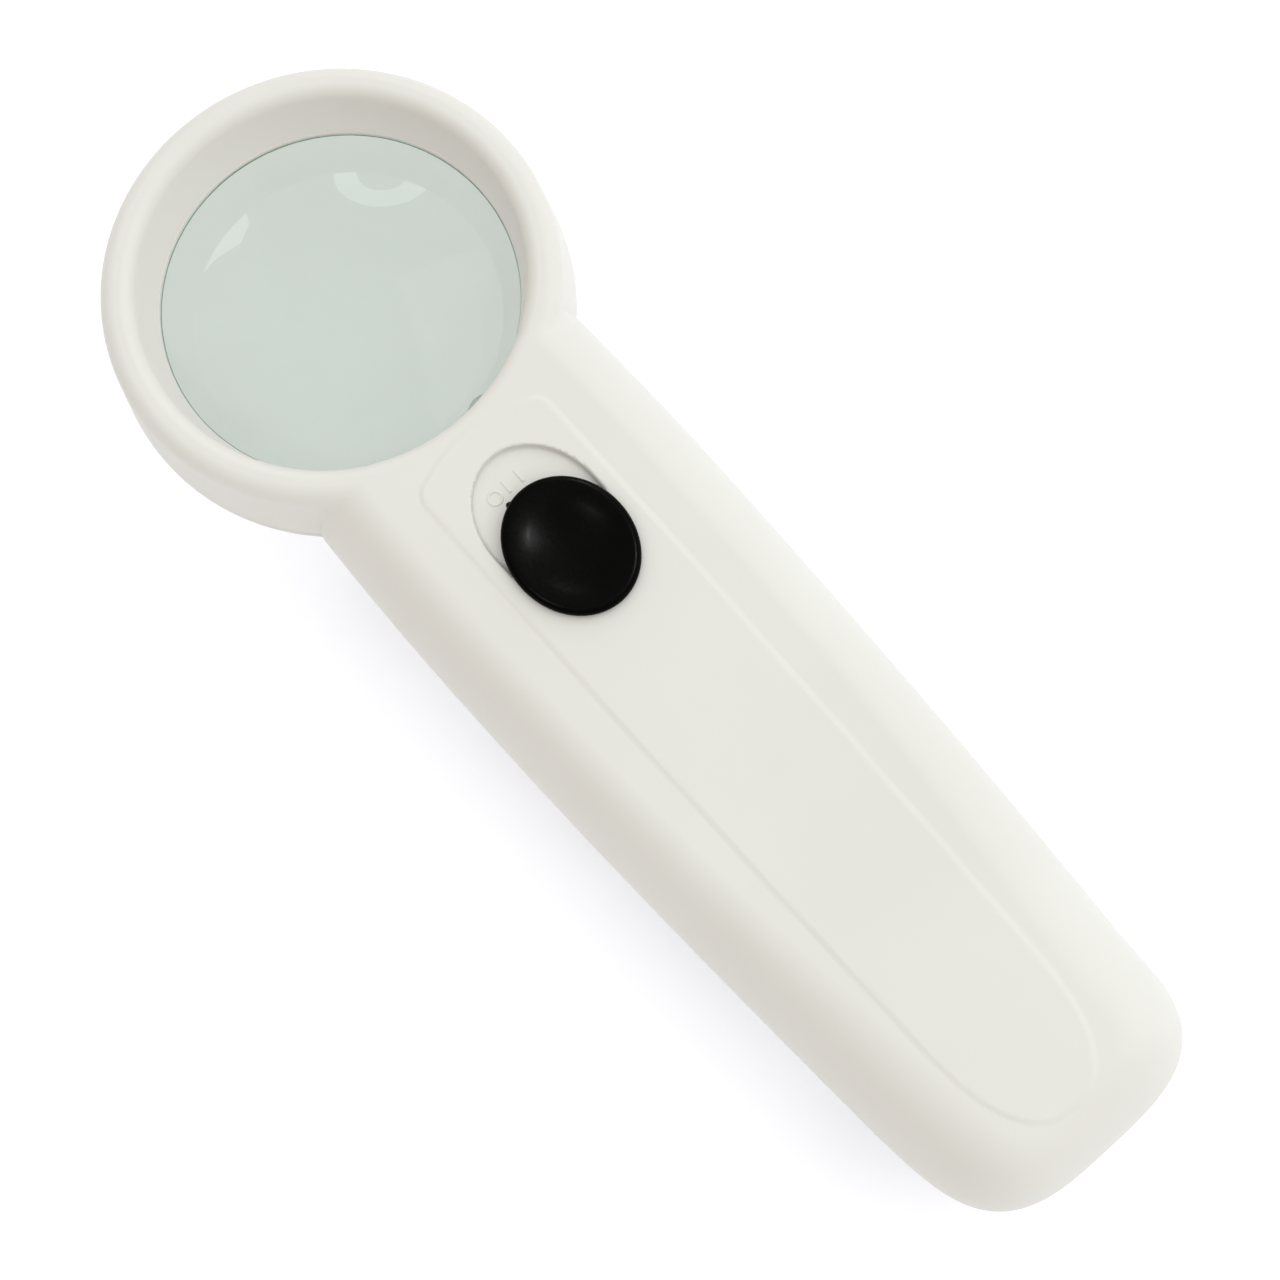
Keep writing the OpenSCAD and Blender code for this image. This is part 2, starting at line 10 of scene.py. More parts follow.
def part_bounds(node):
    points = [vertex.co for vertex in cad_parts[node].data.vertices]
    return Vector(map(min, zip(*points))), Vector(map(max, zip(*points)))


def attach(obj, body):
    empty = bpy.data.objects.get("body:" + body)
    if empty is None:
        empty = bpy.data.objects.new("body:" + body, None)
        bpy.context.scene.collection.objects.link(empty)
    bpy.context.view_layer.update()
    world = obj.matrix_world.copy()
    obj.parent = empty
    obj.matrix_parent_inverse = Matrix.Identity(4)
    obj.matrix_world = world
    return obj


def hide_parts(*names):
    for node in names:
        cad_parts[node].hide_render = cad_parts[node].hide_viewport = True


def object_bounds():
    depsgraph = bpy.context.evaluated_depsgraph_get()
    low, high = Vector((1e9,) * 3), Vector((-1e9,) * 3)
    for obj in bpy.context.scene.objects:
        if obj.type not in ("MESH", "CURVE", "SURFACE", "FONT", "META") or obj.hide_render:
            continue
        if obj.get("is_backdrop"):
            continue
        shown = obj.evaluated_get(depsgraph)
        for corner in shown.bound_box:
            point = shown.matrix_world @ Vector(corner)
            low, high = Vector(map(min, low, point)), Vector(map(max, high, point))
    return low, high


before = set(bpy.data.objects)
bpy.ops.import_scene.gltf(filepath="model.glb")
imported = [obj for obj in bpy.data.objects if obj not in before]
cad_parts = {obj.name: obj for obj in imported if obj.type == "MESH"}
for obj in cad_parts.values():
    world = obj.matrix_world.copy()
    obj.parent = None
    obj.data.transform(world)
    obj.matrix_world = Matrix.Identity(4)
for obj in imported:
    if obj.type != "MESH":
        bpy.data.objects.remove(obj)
cad_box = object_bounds()

# Shapes are worked out in millimetres from the lens axis, with Z up from the flat back.
MM = 0.001
SCENE = bpy.context.scene
lens_left, lens_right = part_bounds("lens")
AXIS_X = (lens_left[0] + lens_right[0]) / 2


def part_box(node):
    """Lowest and highest corner of a CAD node, in millimetres from the lens axis."""
    low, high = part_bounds(node)
    shift = Vector((AXIS_X, 0, 0))
    return (Vector(low) - shift) / MM, (Vector(high) - shift) / MM


front_low, front_high = part_box("front_shell")
door_low, door_high = part_box("battery_door")
knob_low, knob_high = part_box("switch_knob")
lens_r = part_box("lens")[1][0]
ring_low, ring_high = part_box("lens_retaining_ring")

# Handle
BUTT_X = front_high[0]
SEAM_Z = 12.5
PANEL_H = 0.3
PANEL_RISE = 0.15
PANEL_EDGE = 0.7
FACE_Z = front_high[2] - PANEL_H
WALL = 1.5
GRIP_HALF_W = 18.15
TAPER = 2.65
NECK = 0.3
NECK_L = 16.0
WAIST_X = 36.0
BUTT_POWER = 3.3
GRIP_SHIFT = 0.25
BUTT_SHIFT = 0.6
EDGE_BACK = 8.0
EDGE_FRONT = 6.5
TAPER_X = 102.0
ROUND_X = 104.0
SHOULDER_X = 17.8
SHOULDER_R = 0.8
SHOULDER_FILLET = 0.5

# Head
FLARE_R = -front_low[0]
CREST_R = FLARE_R - 0.9
CREST_EDGE = 1.6
RIM_R = 20.35
RIM_EDGE = 1.2
SIGHT_R = 19.3
POCKET_R = 20.55
OPENING_R = 20.6
SEAT_Z = FACE_Z - 6.9
HEAD_BACK_Z = front_high[2] - 11.5
HOLLOW_R = OPENING_R + 1.6

# Panel and switch well
PANEL_X0 = 22.2
PANEL_X1 = 110.4
PANEL_HALF_W = 8.2
PANEL_ROUND_X = 97.0
PANEL_POWER = 2.4
PANEL_TAPER = 1.2
PANEL_BOW = 1.6
WELL_X0 = 26.0
WELL_Z = front_high[2] - 1.0
WELL_FLOOR = 1.2
KNOB_X = (knob_low[0] + knob_high[0]) / 2
KNOB_HALF_L = (knob_high[0] - knob_low[0]) / 2
KNOB_HALF_W = (knob_high[1] - knob_low[1]) / 2
WELL_HALF_W = KNOB_HALF_W + 0.14
WELL_X1 = KNOB_X + KNOB_HALF_L - 0.5
WELL_MID_X = 34.2
SWITCH_TRAVEL = 4.6
KNOB_OVERHANG = 0.22
KNOB_UNDERCUT = 1.25
KNOB_LIP = 0.8
DISH_SHIFT = 0.35
DISH_HALF_L = 6.1
DISH_HALF_W = 5.1
DISH_DEPTH = 1.05

# Battery bay
CELL_Y = 7.4
CELL_Z = 9.3
CELL_R = 7.25
BAY_R = CELL_R + 0.2
BAY_X0 = 44.4
BAY_X1 = 101.6
BAY_WALL = 1.2
TUB_R = BAY_R + 0.85
DOOR_X0 = 44.5
DOOR_HALF_W = 15.3
DOOR_TOP_Z = 7.8
DOOR_CLEAR = 0.2

# Screws, posts and lamps
SCREW_X = 27.5
SCREW_Y = 11.2
BUTT_SCREW_X = 108.5
POST_XS = (28.8, 39.8)
POST_Y = 6.9
BOARD_TOP = part_box("circuit_board")[1][2]
LAMP_X = 21.6
LAMP_Y = 4.3
LAMP_Z = 8.7
LAMP_TILT = radians(20)
LEAD_X = 26.7
LEAD_Y = 1.27
LEAD_D = 0.5
RESISTOR_X = 34.6
RESISTOR_HOLE = 3.2
WIRE_X = 41.2
WIRE_Y = 4.8
PLATE_T = 0.4
SPRING_D = 0.8


# ---- Distance fields ----


def meet(a, b, r):
    """Where a and b are both inside, with the edge between them rounded to radius r."""
    corner = hypot(maximum(a + r, 0), maximum(b + r, 0)) - r
    return np.where((a > -r) & (b > -r), corner, maximum(a, b))


def join(a, b, r):
    """Where a or b is inside, with a fillet of radius r where they meet."""
    return -meet(-a, -b, r)


def carve(a, b, r):
    """Where a is inside and b isn't, with the edge between them rounded to radius r."""
    return meet(a, -b, r)


def soft_step(t):
    """Rises smoothly from 0 to 1 as t does."""
    t = np.clip(t, 0, 1)
    return t * t * (3 - 2 * t)


def block(p, low, high, r=0.2):
    """A box with rounded edges."""
    gaps = [np.abs(p[i] - (low[i] + high[i]) / 2) - (high[i] - low[i]) / 2 + r for i in range(3)]
    outside = np.sqrt(sum(maximum(g, 0) ** 2 for g in gaps))
    return outside + minimum(maximum(maximum(gaps[0], gaps[1]), gaps[2]), 0) - r


def rod(p, at, d, z0, z1, r=0.2):
    """An upright cylinder with rounded ends."""
    radial = hypot(p[0] - at[0], p[1] - at[1]) - d / 2
    return meet(radial, maximum(z0 - p[2], p[2] - z1), r)


def bar(p, y, z, r, x0, x1, edge=0.2):
    """A cylinder along X."""
    radial = hypot(p[1] - y, p[2] - z) - r
    return meet(radial, maximum(x0 - p[0], p[0] - x1), edge)


def half_width(x):
    """Half the handle's width in plan, widest at the waist."""
    past = maximum(x - WAIST_X, 0) / (TAPER_X - WAIST_X)
    before = maximum(WAIST_X - x, 0) / NECK_L
    return GRIP_HALF_W - TAPER * past**1.7 - NECK * before**2


def plan_distance(x, y):
    """Distance from the handle's outline in plan: its butt is a superellipse, a little to +Y."""
    w = half_width(x)
    slope = (half_width(x + 0.1) - half_width(x - 0.1)) / 0.2
    length = BUTT_X - ROUND_X
    t = np.clip((x - ROUND_X) / length, 0, 3)
    middle = GRIP_SHIFT * soft_step((x - 50) / 50) + BUTT_SHIFT * soft_step((x - 100) / 15)
    side = np.abs(y - middle) / w
    n = BUTT_POWER
    rho = maximum((side**n + t**n) ** (1 / n), 1e-3)
    reach = hypot(t ** (n - 1) / length - side**n * slope / w, side ** (n - 1) / w) / rho ** (n - 1)
    return (rho - 1) / maximum(reach, 0.04)


def handle(p):
    """The handle's rounded body, and how far its surface there faces along Z."""
    x, y, z = p
    late = soft_step((x - 60) / 50)
    front = z > SEAM_Z
    a = np.where(front, EDGE_FRONT + (EDGE_BACK - EDGE_FRONT) * late, EDGE_BACK)
    b = np.where(front, FACE_Z - SEAM_Z, SEAM_Z)
    u = maximum(plan_distance(x, y) + a, 0) / a
    v = np.abs(z - SEAM_Z) / b
    g = maximum(hypot(u, v), 0.2)
    slope = maximum(hypot(u / a, v / b), 1e-6)
    return (g - 1) / maximum(slope / g, 0.05), (v / b) / slope


def head_wall(p):
    """The head's wall in front of the seam as a solid disc, and how far it faces along Z."""
    x, y, z = p
    lean = (FLARE_R - CREST_R) / (FACE_Z - CREST_EDGE - SEAM_Z)
    side = (hypot(x, y) - FLARE_R + lean * (z - SEAM_Z)) / sqrt(1 + lean * lean)
    top = z - FACE_Z
    up = maximum(top + CREST_EDGE, 0)
    out = maximum(side + CREST_EDGE, 0)
    facing = up / maximum(hypot(up, out), 1e-6)
    return meet(side, top, CREST_EDGE), facing


def panel_distance(x, y):
    """Distance from the outline of the raised panel on the front."""
    side_w = PANEL_HALF_W - PANEL_TAPER * (np.clip(x - 25, 0, 75) / 75) ** 2
    length = PANEL_X1 - PANEL_ROUND_X
    t = maximum(x - PANEL_ROUND_X, 0) / length
    side = np.abs(y) / side_w
    n = PANEL_POWER
    rho = maximum((side**n + t**n) ** (1 / n), 1e-3)
    reach = hypot(t ** (n - 1) / length, side ** (n - 1) / side_w) / rho ** (n - 1)
    sides = (rho - 1) / maximum(reach, 0.04)
    return meet(sides, PANEL_X0 + PANEL_BOW * (y / 7.2) ** 2 - x, 1.2)


def well_distance(x, y, grow=0.0):
    """Distance from the switch well in plan: half an ellipse towards the head and half towards the butt."""
    length = np.where(x < WELL_MID_X, WELL_MID_X - WELL_X0, WELL_X1 - WELL_MID_X) + grow
    w = WELL_HALF_W + grow
    t = (x - WELL_MID_X) / length
    rho = maximum(hypot(t, y / w), 1e-3)
    slope = hypot(t / length, y / w / w) / rho
    return (rho - 1) / maximum(slope, 0.04)


def front_shell_field(p):
    x, y, z = p
    r = hypot(x, y)
    raised = z - PANEL_RISE * soft_step(0.5 - panel_distance(x, y) / PANEL_EDGE)
    grip, grip_up = handle((x, y, raised))
    grip = meet(grip, SHOULDER_X - x, SHOULDER_R)
    head, head_up = head_wall((x, y, raised))
    solid = join(grip, head, SHOULDER_FILLET * (1 - grip_up * head_up) + 0.02)
    solid = meet(solid, SEAM_Z - z, 0.2)
    cone_r = SIGHT_R + (RIM_R - SIGHT_R) * (z - SEAT_Z) / (FACE_Z - RIM_EDGE - SEAT_Z)
    solid = meet(solid, cone_r - r, RIM_EDGE)
    solid = meet(solid, -maximum(r - POCKET_R, z - SEAT_Z), 0.15)
    solid = carve(solid, handle_hollow(p), 0.2)
    for part in front_features(p):
        solid = join(solid, maximum(part, grip + WALL / 2), 0.3)
    well = meet(well_distance(x, y), WELL_Z - z, 0.3)
    solid = carve(solid, well, 0.25)
    slot = block(p, (KNOB_X - SWITCH_TRAVEL - 1.85, -1.4, WELL_Z - 3), (KNOB_X + 1.85, 1.4, WELL_Z + 1))
    solid = carve(solid, slot, 0.15)
    for side_y in (-1, 1):
        solid = carve(solid, rod(p, (SCREW_X, side_y * SCREW_Y), 2.3, 5, 14.5), 0.15)
    return carve(solid, rod(p, (BUTT_SCREW_X, 0), 2.3, 5, 18.5), 0.15)


def handle_hollow(p):
    """The room inside the handle's walls, kept clear of the head's wall."""
    inner = meet(handle(p)[0] + WALL, SHOULDER_X + WALL - p[0], 1.0)
    return meet(inner, HOLLOW_R - hypot(p[0], p[1]), 0.8)


def front_features(p):
    """What is moulded inside the front shell: well tub, board posts, slider guides and bosses."""
    x, y, z = p
    tub = meet(well_distance(x, y, 1.2), np.abs(z - WELL_Z + WELL_FLOOR / 2) - WELL_FLOOR / 2, 0.2)
    wall = np.abs(well_distance(x, y, 0.6)) - 0.6
    yield tub
    yield meet(wall, np.abs(z - WELL_Z - 0.4) - 0.9, 0.1)
    for side_y in (-1, 1):
        for post_x in POST_XS:
            yield rod(p, (post_x, side_y * POST_Y), 2.8, BOARD_TOP + 0.05, FACE_Z - 1)
        yield rod(p, (SCREW_X, side_y * SCREW_Y), 5, 9.1, FACE_Z - 1)
        yield block(p, (28, side_y * 5.2 - 0.45, 17.2), (42.2, side_y * 5.2 + 0.45, 20.2), 0.15)
        rib_y = side_y * (SCREW_Y + 3.6)
        yield block(p, (SCREW_X - 0.5, rib_y - 2.2, 14), (SCREW_X + 0.5, rib_y + 1.4, FACE_Z - 1.6), 0.15)
    yield rod(p, (BUTT_SCREW_X, 0), 5, 9.6, FACE_Z - 1)
    for rib_y in (-4, 4):
        low = (BUTT_SCREW_X - 0.5, rib_y - 2, 12)
        yield block(p, low, (BUTT_SCREW_X + 0.5, rib_y + 2, FACE_Z - 1), 0.15)


def door_space(p, clear):
    """Where the battery door is: open to the back and the butt."""
    x, y, z = p
    sides = maximum(np.abs(y) - DOOR_HALF_W - clear, z - DOOR_TOP_Z - clear)
    return meet(sides, DOOR_X0 - clear - x, 0.6)


def cells(p, r, x0, x1, edge=0.1):
    return minimum(bar(p, -CELL_Y, CELL_Z, r, x0, x1, edge), bar(p, CELL_Y, CELL_Z, r, x0, x1, edge))


def lamp_bore(p, side_y):
    """The stepped bore that a lamp sits in."""
    dx, dz = p[0] - LAMP_X, p[2] - LAMP_Z
    along = -dx * cos(LAMP_TILT) - dz * sin(LAMP_TILT)
    across = hypot(dx * sin(LAMP_TILT) - dz * cos(LAMP_TILT), p[1] - side_y * LAMP_Y)
    bulb = maximum(across - 2.6, 1 - along)
    flange = maximum(across - 3.0, maximum(along - 1, -along - 20))
    return minimum(bulb, flange)


def rear_shell_field(p):
    x, y, z = p
    r = hypot(x, y)
    body = handle(p)[0]
    skin = meet(meet(body, SHOULDER_X - x, SHOULDER_R), z - SEAM_Z, 0.2)
    hollow = handle_hollow(p)
    solid = meet(skin, -hollow, 0.2)
    solid = carve(solid, door_space(p, DOOR_CLEAR), 0.3)
    head = meet(meet(r - FLARE_R, HEAD_BACK_Z - z, 1.3), z - SEAM_Z, 0.2)
    solid = join(solid, head, 0.5)
    solid = meet(solid, OPENING_R - r, 0.4)
    tub_x0, tub_x1, tub_half_w = BAY_X0 - BAY_WALL, BAY_X1 + BAY_WALL, BAY_R + CELL_Y + 1.6
    tub = minimum(
        block(p, (tub_x0, -tub_half_w, WALL), (tub_x1, tub_half_w, CELL_Z)),
        cells(p, TUB_R, tub_x0, tub_x1, 0.2),
    )
    roof = (tub_x0, -CELL_Y, CELL_Z), (tub_x1, CELL_Y, CELL_Z + TUB_R)
    tub = meet(minimum(tub, block(p, *roof)), body + WALL + 0.15, 0.2)
    tub = meet(tub, -maximum(door_space(p, DOOR_CLEAR), -body - WALL - 0.15 - DOOR_CLEAR), 0.2)
    solid = join(solid, tub, 0.2)
    ledge = meet(body + 0.6, maximum(BAY_X1 - x, np.abs(z - 8.75) - 0.75), 0.2)
    solid = join(solid, ledge, 0.3)
    for side_y in (-1, 1):
        solid = join(solid, rod(p, (SCREW_X, side_y * SCREW_Y), 6.4, 0.5, 9), 0.5)
    bay = minimum(
        cells(p, BAY_R, BAY_X0, BAY_X1),
        block(p, (BAY_X0, -CELL_Y, CELL_Z - 1), (BAY_X1, CELL_Y, CELL_Z + 3)),
    )
    bay = minimum(bay, block(p, (BAY_X0, -BAY_R - CELL_Y, -1), (BAY_X1, BAY_R + CELL_Y, CELL_Z)))
    solid = carve(solid, bay, 0.2)
    room = maximum(hollow, maximum(np.abs(y) - 8.2, maximum(x - 42.2, z - 13.5)))
    solid = carve(solid, room, 0.1)
    for side_y in (-1, 1):
        solid = carve(solid, rod(p, (SCREW_X, side_y * SCREW_Y), 4.6, -1, 4, 0.05), 0.25)
        solid = carve(solid, rod(p, (SCREW_X, side_y * SCREW_Y), 2.6, -1, 10, 0.05), 0.15)
        solid = carve(solid, lamp_bore(p, side_y), 0.15)
        wire_y = side_y * WIRE_Y
        solid = carve(solid, block(p, (42.6, wire_y - 0.8, 14.7), (44.6, wire_y + 0.8, 15.5)), 0.1)
    solid = carve(solid, rod(p, (BUTT_SCREW_X, 0), 2.6, 0, 30, 0.05), 0.15)
    return carve(solid, block(p, (39.4, -2.5, WALL), (200, 2.5, 3.3), 0.1), 0.2)


def door_field(p):
    x, y, z = p
    body = handle(p)[0]
    solid = meet(meet(body, -body - WALL, 0.1), -cells(p, BAY_R, 40, BAY_X1), 0.2)
    solid = meet(solid, door_space(p, 0), 0.3)
    tongue = minimum(
        block(p, (DOOR_X0 + 0.2, -2.2, WALL - 0.6), (DOOR_X0 + 3, 2.2, 2.9), 0.3),
        block(p, (DOOR_X0 - 3, -2.2, 1.9), (DOOR_X0 + 3, 2.2, 2.9), 0.4),
    )
    solid = join(solid, tongue, 0.3)
    for i in range(7):
        groove = hypot(x - 51 - 2.1 * i, z + 0.75) - 1.15
        solid = carve(solid, meet(groove, np.abs(y) - 8 + 0.35 * i, 0.5), 0.25)
    arrow = meet(np.abs(y) * 0.87 + (x - 73.5) * 0.5, 68.6 - x, 0.3)
    return carve(solid, meet(arrow, z - 0.35, 0.15), 0.15)


def knob_plan(x, y, half_l, half_w):
    """Distance from an ellipse about the knob's middle."""
    dx = x - KNOB_X
    rho = maximum(hypot(dx / half_l, y / half_w), 1e-3)
    slope = hypot(dx / half_l**2, y / half_w**2) / rho
    return (rho - 1) / maximum(slope, 0.04)


def knob_field(p):
    """The oval thumb knob: a dished top inside a soft rim that overhangs the well, on a stem."""
    x, y, z = p
    z0, z1 = WELL_Z + 0.12, knob_high[2]
    half_l, half_w = KNOB_HALF_L + KNOB_OVERHANG, KNOB_HALF_W + KNOB_OVERHANG
    plan = knob_plan(x, y, half_l, half_w)
    cap_z = FACE_Z + PANEL_H + 0.12
    cap = meet(meet(plan, z - z1, KNOB_LIP), cap_z - z, 0.2)
    skirt = meet(plan + KNOB_UNDERCUT, maximum(z - cap_z - 0.4, z0 - z), 0.2)
    body = join(cap, skirt, 0.15)
    dx = (x - KNOB_X - DISH_SHIFT) / DISH_HALF_L
    dy = y / DISH_HALF_W
    dish = z - z1 + DISH_DEPTH * (1 - dx * dx - dy * dy)
    slope = 2 * DISH_DEPTH * hypot(dx / DISH_HALF_L, dy / DISH_HALF_W)
    body = meet(body, dish / np.sqrt(1 + minimum(slope, 1) ** 2), 0.35)
    nib = hypot(hypot(x - KNOB_X + KNOB_HALF_L - 0.1, y + 1.9), z - z1 + 1.0) - 0.32
    body = join(body, nib, 0.25)
    stem = block(p, (KNOB_X - 1.5, -1.2, knob_low[2]), (KNOB_X + 1.5, 1.2, z0 + 0.8), 0.15)
    return join(body, stem, 0.2)


# ---- Meshes ----


def place(points):
    """Millimetres from the lens axis to metres in the object's frame."""
    return np.asarray(points, dtype=np.float64) * MM + np.array([AXIS_X, 0, 0])


def gradient(field, points, step=0.02):
    columns = []
    for axis in range(3):
        ahead = [points[:, i] + (step if i == axis else 0) for i in range(3)]
        behind = [points[:, i] - (step if i == axis else 0) for i in range(3)]
        columns.append((field(ahead) - field(behind)) / (2 * step))
    return np.stack(columns, axis=1)


def settle(field, points, limit, rounds=3):
    """Moves points onto the surface along the field's gradient."""
    for _ in range(rounds):
        slope = gradient(field, points)
        size = maximum((slope**2).sum(axis=1, keepdims=True), 0.2)
        value = field([points[:, i] for i in range(3)])[:, None]
        points = points - np.clip(value * slope / size, -limit, limit)
    return points


def surface_net(field, low, high, step):
    """Points and quads of the field's zero surface, one point in each grid cell that it crosses."""
    axes = [np.arange(low[i] - 2.5 * step, high[i] + 3 * step, step) for i in range(3)]
    grid = np.meshgrid(*axes, indexing="ij", sparse=True)
    values = np.broadcast_to(field(grid), [len(a) for a in axes]).astype(np.float32)
    inside = values < 0
    cell_shape = [n - 1 for n in values.shape]
    count = np.zeros(cell_shape, dtype=np.int8)
    for corner in np.ndindex(2, 2, 2):
        count += inside[tuple(slice(c, c + n) for c, n in zip(corner, cell_shape))]
    cell = np.argwhere((count > 0) & (count < 8))
    index = np.full(cell_shape, -1, dtype=np.int64)
    index[tuple(cell.T)] = np.arange(len(cell))
    total = np.zeros((len(cell), 3))
    hits = np.zeros(len(cell))
    for axis in range(3):
        ahead = np.eye(3, dtype=int)[axis]
        for start in np.ndindex(2, 2, 2):
            if start[axis]:
                continue
            a = values[tuple((cell + start).T)]
            b = values[tuple((cell + start + ahead).T)]
            crossed = (a < 0) != (b < 0)
            t = np.where(crossed, a / np.where(crossed, a - b, 1), 0)
            total += crossed[:, None] * (np.array(start) + t[:, None] * ahead)
            hits += crossed
    points = np.array([a[0] for a in axes]) + (cell + total / hits[:, None]) * step
    quads = []
    for axis in range(3):
        u, v = [(axis + 1) % 3, (axis + 2) % 3]
        first = [slice(1, -1)] * 3
        first[axis] = slice(0, -1)
        second = [slice(1, -1)] * 3
        second[axis] = slice(1, None)
        a, b = inside[tuple(first)], inside[tuple(second)]
        edge = np.argwhere(a != b)
        outward = a[tuple(edge.T)]
        edge = edge + [0 if i == axis else 1 for i in range(3)]
        step_u, step_v = np.eye(3, dtype=int)[u], np.eye(3, dtype=int)[v]
        around = [edge, edge - step_u, edge - step_u - step_v, edge - step_v]
        quad = np.stack([index[tuple(c.T)] for c in around], axis=1)
        quad[~outward] = quad[~outward][:, ::-1]
        quads.append(quad)
    return points, np.concatenate(quads)


def new_object(name, data):
    obj = bpy.data.objects.new(name, data)
    SCENE.collection.objects.link(obj)
    return obj


def moulded(name, field, low, high, step, faces):
    """A moulded piece from its field: netted, thinned to about that many faces, and shaded as the field."""
    points, quads = surface_net(field, low, high, step)
    points = settle(field, points, step / 3)
    rough = bpy.data.meshes.new(name + "_net")
    rough.from_pydata(points.tolist(), [], quads.tolist())
    obj = new_object(name, rough)
    thin = obj.modifiers.new("thin", "DECIMATE")
    thin.ratio = min(1, faces / (2 * len(quads)))
    graph = bpy.context.evaluated_depsgraph_get()
    mesh = bpy.data.meshes.new_from_object(obj.evaluated_get(graph))
    obj.modifiers.clear()
    obj.data = mesh
    bpy.data.meshes.remove(rough)
    flat = np.empty(len(mesh.vertices) * 3)
    mesh.vertices.foreach_get("co", flat)
    points = settle(field, flat.reshape(-1, 3), step / 4, 2)
    normals = gradient(field, points)
    normals /= maximum(np.linalg.norm(normals, axis=1, keepdims=True), 1e-6)
    mesh.vertices.foreach_set("co", place(points).ravel())
    mesh.update()
    mesh.shade_smooth()
    mesh.normals_split_custom_set_from_vertices(normals.tolist())
    mesh.name = name
    return obj


def add_turned(bm, section, turns, centre, axis, closed):
    """Adds a turned shape from its half section of (radius, height) points."""
    rings = []
    lift = Vector(axis).to_track_quat("Z", "Y").to_matrix()
    angles = [2 * pi * i / turns for i in range(turns)]
    for radius, height in section:
        if radius < 1e-6:
            rings.append([bm.verts.new(lift @ Vector((0, 0, height)) + Vector(centre))])
            continue
        ring = [lift @ Vector((radius * cos(a), radius * sin(a), height)) + Vector(centre) for a in angles]
        rings.append([bm.verts.new(v) for v in ring])
    for low_ring, high_ring in zip(rings, rings[1:] + ([rings[0]] if closed else [])):
        if len(low_ring) == 1 and len(high_ring) == 1:
            continue
        for i in range(turns):
            j = (i + 1) % turns
            corners = [low_ring[i % len(low_ring)], low_ring[j % len(low_ring)],
                       high_ring[j % len(high_ring)], high_ring[i % len(high_ring)]]
            bm.faces.new(list(dict.fromkeys(corners)))


def lathe(name, section, turns=128, centre=(0, 0, 0), axis=(0, 0, 1), closed=True, sharp=radians(40)):
    bm = bmesh.new()
    add_turned(bm, section, turns, centre, axis, closed)
    return finish_mesh(name, bm, sharp)


def finish_mesh(name, bm, sharp=radians(40)):
    """Makes an object of a bmesh drawn in millimetres from the lens axis."""
    bmesh.ops.recalc_face_normals(bm, faces=bm.faces)
    for vert in bm.verts:
        vert.co = Vector(place(vert.co))
    mesh = bpy.data.meshes.new(name)
    bm.to_mesh(mesh)
    bm.free()
    mesh.shade_smooth()
    mesh.set_sharp_from_angle(angle=sharp)
    return new_object(name, mesh)


# ---- Materials ----


def shader(name):
    """A new node material: the material, its node tree and its Principled shader."""
    mat = bpy.data.materials.new(name)
    mat.use_nodes = True
    tree = mat.node_tree
    return mat, tree, tree.nodes["Principled BSDF"]


def put(node, name, value):
    """Sets a node's input, or joins another node's output to it."""
    if isinstance(value, bpy.types.NodeSocket):
        node.id_data.links.new(value, node.inputs[name])
    else:
        node.inputs[name].default_value = value


def noise(tree, scale, detail=3.0, rough=0.5, stretch=(1, 1, 1)):
    """Noise in the object's own space, with scale in features a metre."""
    where = tree.nodes.new("ShaderNodeTexCoord")
    mapping = tree.nodes.new("ShaderNodeMapping")
    put(mapping, "Scale", stretch)
    texture = tree.nodes.new("ShaderNodeTexNoise")
    put(texture, "Scale", scale)
    put(texture, "Detail", detail)
    put(texture, "Roughness", rough)
    put(mapping, "Vector", where.outputs["Object"])
    put(texture, "Vector", mapping.outputs["Vector"])
    return texture.outputs["Fac"]


def spread(tree, factor, low, high):
    """A noise factor mapped to a range of values."""
    node = tree.nodes.new("ShaderNodeMapRange")
    put(node, "From Min", 0.3)
    put(node, "From Max", 0.7)
    put(node, "To Min", low)
    put(node, "To Max", high)
    put(node, "Value", factor)
    return node.outputs["Result"]


def two_tone(tree, factor, first, second):
    node = tree.nodes.new("ShaderNodeValToRGB")
    node.color_ramp.elements[0].position = 0.3
    node.color_ramp.elements[0].color = (*first, 1)
    node.color_ramp.elements[1].position = 0.7
    node.color_ramp.elements[1].color = (*second, 1)
    put(node, "Fac", factor)
    return node.outputs["Color"]


def bumps(tree, factor, strength, depth, after=None):
    node = tree.nodes.new("ShaderNodeBump")
    put(node, "Strength", strength)
    put(node, "Distance", depth)
    put(node, "Height", factor)
    if after:
        put(node, "Normal", after)
    return node.outputs["Normal"]


def finish(name, first, second, gloss, grain, depth, metal=0.0, patch=60, stretch=(1, 1, 1)):
    """A plain finish: two close tones in soft patches, uneven gloss and a fine grain."""
    mat, tree, bsdf = shader(name)
    patches = noise(tree, patch)
    put(bsdf, "Base Color", two_tone(tree, patches, first, second))
    put(bsdf, "Roughness", spread(tree, noise(tree, patch * 5), *gloss))
    put(bsdf, "Normal", bumps(tree, noise(tree, grain, 4, 0.6, stretch), 0.6, depth))
    put(bsdf, "Metallic", metal)
    return mat


